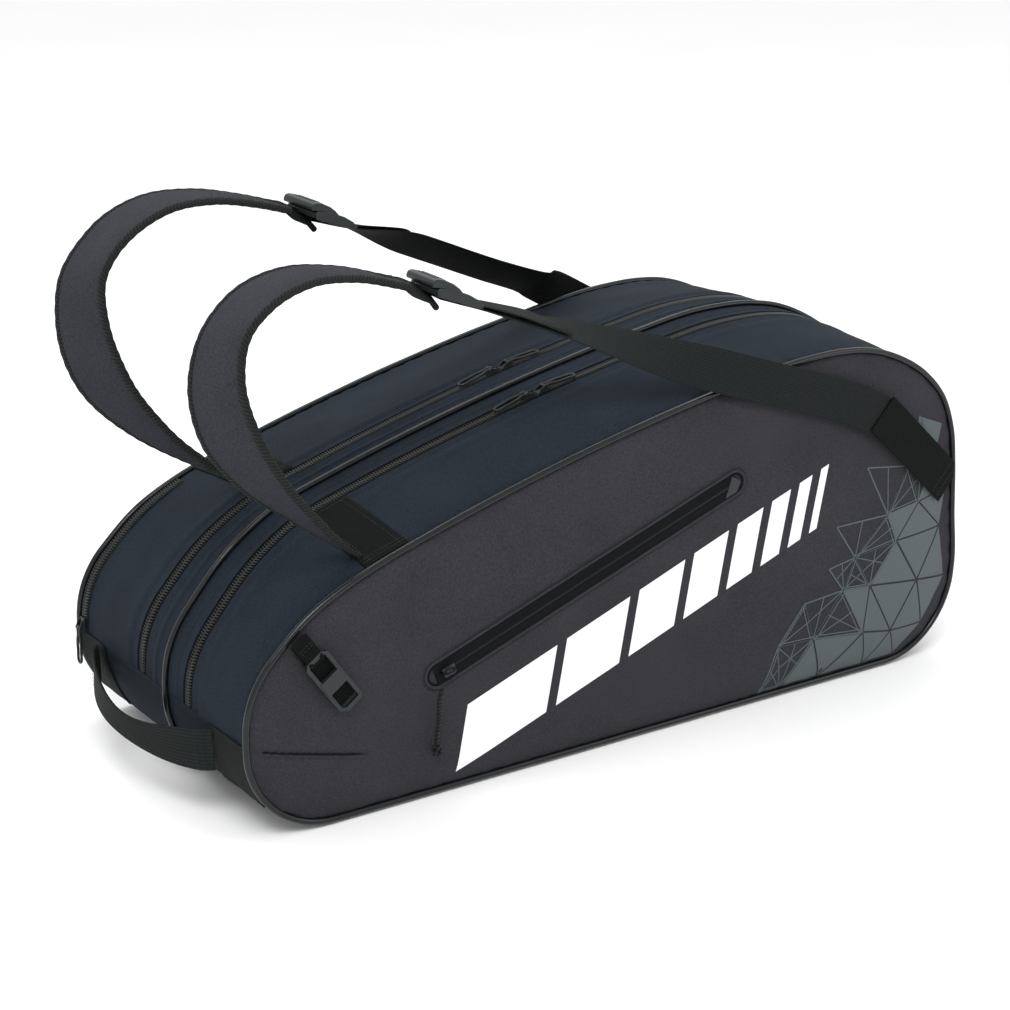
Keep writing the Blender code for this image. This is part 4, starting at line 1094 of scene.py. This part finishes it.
def make_pocket():
    """The front pocket's zip with the welt round it and the end stop of its coil."""
    us = np.linspace(-0.002, POCKET_ZIP_LENGTH + 0.002, 160)
    vs = np.linspace(-POCKET_ZIP_HALF, POCKET_ZIP_HALF, 17)
    groove = -0.0009 * np.exp(-(vs / 0.0010) ** 2) + 0.0005 * np.exp(-((np.abs(vs) - 0.0028) / 0.0020) ** 2)
    flat = pocket_point(us, 0.0, 0.0)[:, None] + (pocket_point(0.0, vs, 0.0) - pocket_point(0.0, 0.0, 0.0))[None]
    top = flat.copy()
    top[..., 1] -= 0.0007 + groove
    add_cloth("pocket_zip_tape", top, flat + ACROSS * 0.0006, TAPE, "front_shell", "pocket_zip")
    line = pocket_point(np.linspace(0.012, POCKET_ZIP_LENGTH - 0.004, 200), 0.0, 0.00045)
    coil_teeth("pocket_zip_coil", line, np.broadcast_to(OUTWARD, line.shape), "front_shell", 0.0013, 0.0014)
    for name, half, radius, paint in (("pocket_welt_inner", 0.0088, 0.0008, TAPE),
                                      ("pocket_welt_outer", 0.0112, 0.0011, CHARCOAL)):
        path = welt_path(half, 0.003, 0.0002)
        out = np.broadcast_to(OUTWARD, path.shape)
        add_tube(name, path, unit(np.cross(runs(path, True), out)), out,
                 rounded(radius * 1.2, radius * 0.7, 10, 2.0), paint, "front_shell",
                 closed=True)
    path = welt_path(0.0138, 0.002, 0.0001)
    sewn("pocket_welt_stitches", [(np.vstack([path, path[:1]]), OUTWARD)], "front_shell")
    garage = [(POCKET_ZIP_LENGTH - 0.014, -0.0078), (POCKET_ZIP_LENGTH - 0.001, -0.0082),
              (POCKET_ZIP_LENGTH + 0.0060, -0.001), (POCKET_ZIP_LENGTH - 0.001, 0.0082)]
    corners = np.stack([pocket_point(a, b, 0.0016) for a, b in garage])
    faces = [[0, 1, 2, 3], [7, 6, 5, 4]] + quads(2, 4)[0].tolist()
    piece = add_piece("pocket_zip_garage", np.vstack([corners, corners + ACROSS * 0.0014]), faces, PLASTIC,
                      "front_shell")
    soften = piece.modifiers.new("rounded edges", "BEVEL")
    soften.width = 0.0005
    soften.segments = 2
    make_pocket_slider()


def make_pocket_slider():
    """The pocket's slider with its arch and ring, and the pull cord that hangs from it."""
    part = Part(pocket_point(0.004, 0.0, 0.0026), (-POCKET_ALONG[0], 0.0, -POCKET_ALONG[1]), OUTWARD)
    part.plate(SLIDER_SHELL, (-SLIDER_WIDTH / 2, SLIDER_WIDTH / 2))
    arch = [(-0.0012, 0.0, 0.0015), (-0.0014, 0.0, 0.0040), (-0.0035, 0.0, 0.0056), (-0.0070, 0.0, 0.0056),
            (-0.0095, 0.0, 0.0042), (-0.0100, 0.0, 0.0015)]
    part.rod(smooth_line(arch, 0.0008)[0], 0.0009, 10, flat=1.9)
    ring = [(-0.0052 + 0.0030 * math.cos(a), 0.0005, 0.0062 + 0.0030 * math.sin(a) * 0.6)
            for a in np.linspace(0.0, 2.0 * math.pi, 20, endpoint=False)]
    part.rod(ring, 0.0008, 8, closed=True)
    part.add("pocket_slider_body", "pocket_slider", "pocket_slider", 0.0002)
    path = smooth_line(CORD_ROUTE, 0.0020)[0]
    run = runs(path)
    side = unit(np.cross(run, OUTWARD))
    s = lengths(path)
    angle = np.arange(14) * 2.0 * math.pi / 14
    size = CORD_DIAMETER / 2 * (1.0 + 0.07 * np.sin(3.0 * angle[None] + 2.0 * math.pi * s[:, None] / 0.009))
    section = np.stack([np.cos(angle) * size, np.sin(angle) * size], -1)
    cord = add_tube("pocket_pull_cord", path, side, np.cross(side, run), section, BINDING, "pocket_slider",
                    "pocket_cord")
    make_knot()


def make_knot():
    """An overhand knot: a cord wound twice round itself, closed in one tube."""
    centre = np.array(middle("cord_knot"))
    t = np.linspace(0.0, 2.0 * math.pi, 90, endpoint=False)
    wind = 0.42 * KNOT_RADIUS
    reach = KNOT_RADIUS * 0.52 + wind * np.cos(3 * t)
    path = centre + np.stack([reach * np.cos(2 * t) * 0.8, reach * np.sin(2 * t) * 0.6,
                              wind * np.sin(3 * t) * 1.9], 1)
    run = runs(path, True)
    side = unit(np.cross(run, unit(path - centre + 1e-6)))
    return add_tube("pocket_pull_knot", path, side, np.cross(side, run),
                    rounded(KNOT_STRAND_RADIUS, KNOT_STRAND_RADIUS, 10, 2.0), BINDING, "pocket_slider", "cord_knot",
                    closed=True)


# ---------------------------------------------------------------- webbing
def ribbon_frames(line, hints):
    """Across and face directions of a ribbon along a line."""
    run = runs(line)
    wide = unit(hints - run * np.sum(hints * run, axis=1, keepdims=True))
    return wide, np.cross(run, wide)


def ribbon(name, line, hints, widths, thickness, body, node=(), paint=WEBBING, lift=None):
    """A strap of webbing with rounded selvedges and a slight hollow across."""
    wide, face = ribbon_frames(line, hints)
    if lift is not None:
        line = line + face * np.asarray(lift)[:, None]
    section = rounded(0.5, 0.5, 28, 5.0)
    profile = section[None] * np.stack([widths, np.full(len(line), thickness)], 1)[:, None]
    profile[..., 1] -= 0.0006 * (1.0 - (profile[..., 0] / (np.asarray(widths)[:, None] / 2)) ** 2)
    return add_tube(name, line, wide, face, profile, paint, body, node, smooth=50.0), wide, face


def pad_width(t):
    """Width along the pad, from its pointed lower tip to the buckle end."""
    return ((PAD_TIP_WIDTH + (PAD_WIDTH - PAD_TIP_WIDTH) * ease(t, -0.05, 0.42))
            * (1.0 - 0.42 * ease(t, 0.62, 1.0)))


def landed(route):
    """The pad's route led on from its lower tip to the band it is sewn to."""
    y = route[0][1] + (route[0][1] - route[1][1]) * 0.35
    touch = skin(np.array([station_near(PAD_FOOT_X)]), np.array([y]), PAD_FOOT_LIFT)[0, 0]
    return [tuple(touch)] + list(route)


def pad_frames(route, spacing):
    """A pad's middle line, each point's share of the way along it, and its across and face directions."""
    line = smooth_line(route, spacing)[0]
    t = np.arange(len(line)) / (len(line) - 1)
    lean = 0.45 * np.sin(math.pi * np.minimum(1.0, t / 0.62))
    return line, t, *ribbon_frames(line, np.stack([lean, np.full(len(t), -1.0), lean * 0.6], 1))


def make_pad(prefix, route, body):
    """A pad with corded edges; gives back the end where its buckle starts."""
    route = landed(route)
    line, t, wide, face = pad_frames(route, 0.0030)
    widths, s = pad_width(t), lengths(line)
    thick = PAD_THICKNESS * (0.35 + 0.65 * ease(s, 0.0, 0.05)) * (0.55 + 0.45 * ease(s[-1] - s, 0.0, 0.04))
    section = rounded(0.5, 0.5, 44, 2.4)
    profile = section[None] * np.stack([widths - 0.004, thick], 1)[:, None]
    across = profile[..., 0] / (widths[:, None] / 2)
    soft = 0.00055 * ripple(s[:, None], profile[..., 0], 0.028) * np.sign(section[None, :, 1])
    profile[..., 1] += soft * (1.0 - across ** 2)
    pad = add_tube(prefix + "_pad_cushion", line, wide, face, profile, PAD_FACE, body, prefix + "_strap_pad",
                   smooth=60.0)
    end = line[-1]
    line, t, wide, face = pad_frames(route, 0.0011)
    distance = lengths(line)
    angle = np.arange(18) * 2.0 * math.pi / 18
    grids = []
    for side in (-1.0, 1.0):
        centre = line + wide * (side * (pad_width(t) / 2 - 0.0034))[:, None]
        strand = 1.0 + 0.055 * np.sin(4.0 * angle[None] + 2.0 * math.pi * distance[:, None] / 0.0105 * side)
        reach = np.stack([np.cos(angle) * 0.0038 * strand, np.sin(angle) * 0.0033 * strand], -1)
        grids.append(sweep(centre, wide, face, reach * (0.60 + 0.40 * ease(distance, 0.0, 0.05))[:, None, None]))
    points, faces, corners = skinned(grids)
    add_piece(prefix + "_pad_binding", points, faces, BINDING, body, corners)
    return end


def strap_hints(line, side, turns):
    """Across directions of shoulder webbing that turns from facing up to lying flat along the panel."""
    shares = [share * ease(line[:, 0], low, high) for share, low, high in turns]
    turn = math.radians(90.0) * np.max(shares, axis=0)
    return np.stack([np.zeros(len(line)), side * np.cos(turn), -np.sin(turn)], 1)


def make_strap(prefix, pad_route, webbing_route, side, turns, paint):
    """A shoulder strap: pad, buckle, twisted webbing and its straight lower end, sewn down at the foot."""
    body = prefix + "_strap"
    pad_end = make_pad(prefix, pad_route, body)
    line, marks = smooth_line(webbing_route, 0.0035)
    bend = marks[WEBBING_BEND] + 1
    upper = line[:bend]
    s = lengths(upper)
    widths = WEBBING_WIDTH * (0.80 + 0.20 * ease(s, 0.0, 0.02))
    lift = 0.0010 * np.sin(s / 0.045) * ease(s, 0.02, 0.08) * (1.0 - ease(upper[:, 0], 0.08, 0.14))
    ribbon(prefix + "_strap_upper", upper, strap_hints(upper, side, turns), widths, WEBBING_THICKNESS, body,
           prefix + "_strap_webbing", paint, lift)
    down = unit(line[-1] - line[bend])
    proud = 0.0021 * side * (1.0 - ease(np.linspace(0, 1, 48), 0.7, 1.0))
    lower = np.linspace(line[bend] - down * 0.018, line[-1], 48) + ACROSS * proud[:, None]
    hints = np.broadcast_to(unit(np.cross(down, ACROSS)), lower.shape)
    strap = ribbon(prefix + "_strap_lower", lower, hints, np.full(48, WEBBING_WIDTH), WEBBING_THICKNESS, body)[0]
    for vertex in strap.data.vertices:
        vertex.co.x, vertex.co.z = drawn_in(np.array([vertex.co.x, vertex.co.z]), FOOT_SHARE)
    out = ACROSS * side
    edge = unit(np.cross(down, out)) * 0.017
    rows = [np.linspace(lower[stop] + edge, lower[stop] - edge, 20) for stop in (-7, -4)]
    for row in rows:
        row[:, [0, 2]] = [drawn_in(point, FOOT_SHARE - 0.008) for point in row[:, [0, 2]]]
    sewn(prefix + "_strap_foot_stitches", [(row + out * 0.0012, out) for row in rows], body)
    make_buckle(prefix, body, pad_end, line, side, turns, paint)


def make_buckle(prefix, body, start, line, side, turns, paint):
    """A ladder-lock with a raised thumb flap, its short anchoring tab and the webbing's folded tail."""
    run = unit(line[np.searchsorted(line[:, 0], BUCKLE_AIM_X)] - start)
    wide = unit(ACROSS - run * run[1])
    up = np.cross(run, wide)
    up = up if up[2] > 0 else -up
    part = Part(start + up * 0.0002 + run * BUCKLE_ADVANCE, run, up, BUCKLE_SHRINK)
    half = BUCKLE_HALF_WIDTH
    rail = [(0.0040, -0.0014), (0.0010, 0.0020), (0.0020, 0.0058), (0.020, 0.0078), (0.040, 0.0074),
            (0.054, 0.0052), (0.0615, 0.0018), (0.0600, -0.0008), (0.050, -0.0014), (0.020, -0.0014)]
    for sign in (-1.0, 1.0):
        part.plate(rail, (sign * half, sign * (half - 0.0046)))
    inner = half - 0.0040
    for rung in ([(0.0020, -0.0008), (0.0020, 0.0040), (0.0075, 0.0046), (0.0085, -0.0006)],
                 [(0.030, -0.0008), (0.029, 0.0058), (0.036, 0.0066), (0.0385, -0.0004)],
                 [(0.052, -0.0010), (0.051, 0.0034), (0.0575, 0.0028), (0.0595, -0.0004)]):
        part.plate(rung, (-inner, inner))
    flap = [(-0.0058, 0.0046), (-0.0072, 0.0072), (-0.0064, 0.0104), (-0.0030, 0.0122), (0.006, 0.0130),
            (0.017, 0.0122), (0.026, 0.0100), (0.0320, 0.0074), (0.0320, 0.0050), (0.022, 0.0062),
            (0.010, 0.0066), (0.000, 0.0056)]
    part.plate(flap, (-half + 0.0004, half - 0.0004))
    for k, w in enumerate((0.0123, 0.0127, 0.0126, 0.0121, 0.0114)):
        u = -0.001 + 0.0042 * k
        part.block((u, u + 0.0018), (-half * 0.62, half * 0.62), (w - 0.0006, w + 0.0010))
    part.add(prefix + "_buckle_body", body, prefix + "_buckle", 0.0007)
    drop = np.array([part.place((u, 0.0, w)) for u, w in
                     ((-0.044, -0.0004), (-0.028, -0.0012), (-0.012, -0.0022), (0.002, -0.0034), (0.012, -0.0052))])
    tab = smooth_line(drop, 0.002)[0]
    hints = OUTWARD + ease(np.linspace(0.0, 1.0, len(tab)), 0.0, 0.5)[:, None] * TAB_TILT
    ribbon(prefix + "_buckle_tab", tab, hints, np.full(len(tab), 0.034), 0.0018, body, (), paint)
    roll = Part(tab[-1], run, unit(up + np.array([0.0, -0.34, 0.0])))
    roll.rod([(0.0, v, -0.0002) for v in np.linspace(-0.0152, 0.0152, 6)], 0.0026, 14)
    roll.add(prefix + "_buckle_tab_roll", body, (), 0.0006, paint, "black_webbing")
    first = part.place((0.050, 0.0, 0.0030))
    near = line[(line[:, 0] > TAIL_START_X) & (line[:, 0] < TAIL_END_X)]
    tail_hints = strap_hints(near, side, turns)
    near_wide, near_face = ribbon_frames(near, tail_hints)
    near_face = near_face * np.sign(near_face[:, 2:])
    t = np.linspace(0.0, 1.0, len(near))[:, None]
    tail = near + near_face * (0.0022 + 0.0016 * np.sin(math.pi * t) + 0.0012 * ease(t, 0.80, 1.0))
    tail[:4] += (first - tail[0]) * np.array([1.0, 0.7, 0.4, 0.15])[:, None]
    widths = TAIL_WIDTH * (1.0 - 0.72 * ease(t[:, 0], 0.62, 1.0))
    lower_edge = near_wide * np.sign(-near_wide[:, 2:])
    tail = tail + lower_edge * ((TAIL_WIDTH - widths) / 2)[:, None]
    ribbon(prefix + "_strap_tail", tail, tail_hints, widths, WEBBING_THICKNESS, body, (), paint)
    lines = []
    for k in (-5, -7):
        edge = near_wide[k] * widths[k] * 0.42
        lines.append((np.linspace(tail[k] - edge, tail[k] + edge, 14) + near_face[k] * 0.0011, near_face[k]))
    sewn(prefix + "_strap_tail_stitches", lines, body)


def make_bands():
    """Anchor bands of webbing sewn down across the gusset under each pad."""
    stations = np.arange(station_near(BAND_X - BAND_HALF), station_near(BAND_X + BAND_HALF) + 1)
    for prefix, y_from, y_to in (("front", -BAND_SEAM_Y, FRONT_ZIP_Y - LIP_HALF - BAND_CLEARANCE),
                                 ("rear", REAR_ZIP_Y + LIP_HALF + BAND_CLEARANCE, BAND_SEAM_Y)):
        ys = np.linspace(y_from, y_to, 46)
        s = lengths(RIM[stations])
        edge = np.minimum(s, s[-1] - s)[:, None]
        lift = 0.0019 + 0.0004 * ripple(s[:, None], ys[None], 0.02) - 0.0010 * np.exp(-edge / 0.0012)
        add_cloth(prefix + "_anchor_band", skin(stations, ys, lift), skin(stations, ys, lift - 0.0022), WEBBING,
                  prefix + "_shell", prefix + "_strap_band", turned=True)
        lines = [skin_line(stations, y, 0.0021) for y in (y_from + 0.005, y_from + 0.009, y_to - 0.005)]
        line_ys = np.linspace(y_from + 0.004, y_to - 0.004, 40)
        lines += [skin_row(station, line_ys, 0.0021) for station in (stations[2], stations[-3])]
        sewn(prefix + "_anchor_stitches", lines, prefix + "_shell")


# ---------------------------------------------------------------- haul handle and its patches
def make_handle():
    """The haul handle, bowed between its two ends, and the mesh patches it is sewn to."""
    t = 0.5 - 0.5 * np.cos(np.linspace(0.0, math.pi, 70))
    swing = np.sin(math.pi * t)
    line = np.stack([HANDLE_ROOT[0] + 0.0022 * (1.0 - ease(swing, 0.0, 0.12)) - HANDLE_BULGE * swing ** 0.75,
                     HANDLE_REAR_Y + (HANDLE_FRONT_Y - HANDLE_REAR_Y) * t,
                     HANDLE_ROOT[1] - HANDLE_DROOP * swing], 1)
    hints = np.broadcast_to(np.array([0.0, 0.0, 1.0]), line.shape)
    widths = HANDLE_WIDTH * (1.0 - 0.40 * swing ** 2)
    # The handle's webbing is the copy painted lighter: painted light on black webbing.
    _, wide, face = ribbon("haul_handle_webbing", line, hints, widths, 0.0030, "haul_handle", "haul_handle",
                           WEBBING_LIT)
    lines = []
    for stop in (7, 10, len(line) - 11, len(line) - 8):
        for proud in (0.0018, -0.0022):
            edge = wide[stop] * widths[stop] * 0.42
            row = np.linspace(line[stop] - edge, line[stop] + edge, 16) + face[stop] * proud
            lines.append((row, face[stop] * math.copysign(1.0, proud)))
    sewn("haul_handle_stitches", lines, "haul_handle")
    edge = HALF_WIDTH - 0.0030
    stations = np.array([k for k in range(LEFT + 1) if RIM[k, 1] > 0.030])
    for name, root, outer in (("front", HANDLE_FRONT_Y, -edge), ("rear", HANDLE_REAR_Y, edge)):
        rows = np.linspace(0.0, 1.0, len(stations))[:, None]
        reach = root - np.sign(outer) * (0.010 * (1 - rows) + 0.018)
        ys = reach + (outer - reach) * np.linspace(0.0, 1.0, 24)[None]
        lift = sole_drop(stations) + 0.0013 + 0.0004 * ripple(rows * 0.05, ys, 0.012)
        patch = f"handle_patch_{name}"
        add_cloth(patch + "_mesh", skin(stations, ys, lift), skin(stations, ys, lift - CLOTH), SPACER, "bag_body",
                  patch)
        line = skin(stations, reach + np.sign(outer) * 0.0022, lift[:, :1] + 0.0002)[:, 0]
        sewn(patch + "_stitches", [(line, rim_out(stations))], "bag_body")


# ---------------------------------------------------------------- accessory clip
def clip_place(u, v, w):
    """A point down along the clip, across it and proud of the front panel."""
    down = np.array([math.cos(CLIP_ANGLE), 0.0, math.sin(CLIP_ANGLE)])
    across = np.array([-math.sin(CLIP_ANGLE), 0.0, math.cos(CLIP_ANGLE)])
    return np.array([CLIP_TOP[0], -PANEL_FACE, CLIP_TOP[1]]) + down * u + across * v + OUTWARD * w


def make_clip():
    """The clip's frame with its bar and grips, the webbing tab it hangs from and a dark strip behind it: the tab's
    webbing seen through the upper window, and painted shade in the lower window.
    """
    low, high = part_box("accessory_clip")
    lift, thick = -PANEL_FACE - high.y, high.y - low.y
    down = clip_place(1.0, 0.0, 0.0) - clip_place(0.0, 0.0, 0.0)
    part = Part(clip_place(0.0, 0.0, lift), down, OUTWARD)
    half, rail, length = 0.012, 0.0036, 0.060
    ring = [(0.004, -half), (0.0, -half + 0.004), (0.0, half - 0.004), (0.004, half), (length - 0.006, half),
            (length, half - 0.006), (length, -half + 0.003), (length - 0.003, -half)]
    far, wide = length - rail, half - rail
    inner = [(rail + 0.001, -wide), (rail, -wide + 0.001), (rail, wide - 0.001), (rail + 0.001, wide),
             (far - 0.003, wide), (far, wide - 0.003), (far, -wide + 0.001), (far - 0.001, -wide)]
    count = len(ring)
    local = [(u, v, w) for w in (0.0, thick) for loop in (ring, inner) for u, v in loop]
    faces = []
    for j in range(count):
        k = (j + 1) % count
        faces += [[j, k, count + k, count + j], [2 * count + j, 3 * count + j, 3 * count + k, 2 * count + k],
                  [j, 2 * count + j, 2 * count + k, k], [count + j, count + k, 3 * count + k, 3 * count + j]]
    part.join(part.place(local), faces)
    part.plate([(0.0225, 0.0002), (0.0230, thick + 0.0006), (0.0300, thick + 0.0011), (0.0370, thick + 0.0006),
                (0.0375, 0.0002)], (-half + 0.0012, half - 0.0012))
    for sign, u in ((-1.0, 0.010), (1.0, 0.046)):
        part.block((u, u + 0.009), (sign * half * 0.99, sign * (half - 0.0030)), (thick - 0.0002, thick + 0.0005))
    part.add("accessory_clip_body", "accessory_clip", "accessory_clip", 0.0006)
    us = np.linspace(-0.020, 0.0105, 26)
    line = np.stack([clip_place(u, 0.0, 0.0010 + 0.0052 * ease(u, -0.006, 0.0015)
                                - 0.0036 * ease(u, 0.0035, 0.0105)) for u in us])
    across = clip_place(0.0, 1.0, 0.0) - clip_place(0.0, 0.0, 0.0)
    ribbon("clip_tab_webbing", line, np.broadcast_to(across, line.shape), np.full(len(line), 0.0150), 0.0013,
           "front_shell", "clip_tab")
    # A dark webbing strip under the whole clip: partly the tab's webbing seen through the upper window, partly
    # painted shade filling the lower window's hollow.
    backing_and_shade = np.stack([clip_place(u, 0.0, 0.0007) for u in np.linspace(-0.019, 0.0555, 30)])
    ribbon("clip_backing_webbing_and_painted_shade", backing_and_shade, np.broadcast_to(across, backing_and_shade.shape), np.full(30, 0.0175), 0.0009,
           "front_shell")
    rows = [(np.linspace(clip_place(u, -0.0062, 0.0018), clip_place(u, 0.0062, 0.0018), 8), OUTWARD)
            for u in (-0.0075, -0.0105)]
    sewn("clip_tab_stitches", rows, "front_shell")


# ---------------------------------------------------------------- camera, lights and floor
def make_camera():
    """The camera at the photo's viewing angle."""
    turn, fall, roll = CAMERA_TURN, CAMERA_FALL, CAMERA_ROLL
    ahead = Vector((math.sin(turn) * math.cos(fall), math.cos(turn) * math.cos(fall), -math.sin(fall)))
    right = Vector((math.cos(turn), -math.sin(turn), 0.0))
    up = right.cross(ahead)
    right, up = (right * math.cos(roll) + up * math.sin(roll), up * math.cos(roll) - right * math.sin(roll))
    data = bpy.data.cameras.new("camera")
    data.lens = CAMERA_LENS
    data.sensor_width = 36.0
    camera = bpy.data.objects.new("camera", data)
    turned = Matrix((right, up, -ahead)).transposed().to_4x4()
    camera.matrix_world = Matrix.Translation(CAMERA_PLACE) @ turned
    bpy.context.scene.collection.objects.link(camera)
    bpy.context.scene.camera = camera


def add_light(name, place, target, size, power):
    data = bpy.data.lights.new(name, "AREA")
    data.shape = "RECTANGLE"
    data.size, data.size_y = size
    data.energy = power
    light = bpy.data.objects.new(name, data)
    light.location = place
    light.rotation_mode = "QUATERNION"
    light.rotation_quaternion = (Vector(target) - Vector(place)).to_track_quat("-Z", "Y")
    bpy.context.scene.collection.objects.link(light)


def make_studio():
    world = bpy.data.worlds.new("studio")
    bpy.context.scene.world = world
    world.use_nodes = True
    sky = world.node_tree.nodes["Background"].inputs
    sky["Color"].default_value, sky["Strength"].default_value = (1.0, 1.0, 1.0, 1.0), 1.0
    for light in LIGHTS:
        add_light(*light)
    mesh = bpy.data.meshes.new("floor")
    mesh.from_pydata([(x * FLOOR_HALF, y * FLOOR_HALF, FLOOR_Z) for x, y in ((-1, -1), (1, -1), (1, 1), (-1, 1))],
                     [], [(0, 1, 2, 3)])
    floor = bpy.data.objects.new("floor", mesh)
    paint = Paint("pale_floor", 0.85)
    shade = paint.ramp(paint.noise(3.0), 0.3, 0.7, (0.915, 0.915, 0.915), (0.93, 0.93, 0.93))
    mesh.materials.append(paint.finish(shade, paint.noise(400.0), 0.0001, 0.2))
    bpy.context.scene.collection.objects.link(floor)
    bpy.context.scene.view_settings.view_transform = "Standard"


make_camera()
make_studio()
make_pocket()
make_gussets()
make_bottom()
make_zips()
make_piping()
make_panel("front", -1.0)
make_panel("rear", 1.0)
make_prints()
make_dart_stitches()
make_linings()
make_sliders()
# The front strap uses the webbing painted lighter (painted light); the rear strap keeps the darker webbing.
make_strap("front", FRONT_PAD_ROUTE, FRONT_WEBBING_ROUTE, -1.0, FRONT_TURNS, WEBBING_LIT)
make_strap("rear", REAR_PAD_ROUTE, REAR_WEBBING_ROUTE, 1.0, REAR_TURNS, WEBBING)
make_bands()
make_handle()
make_clip()
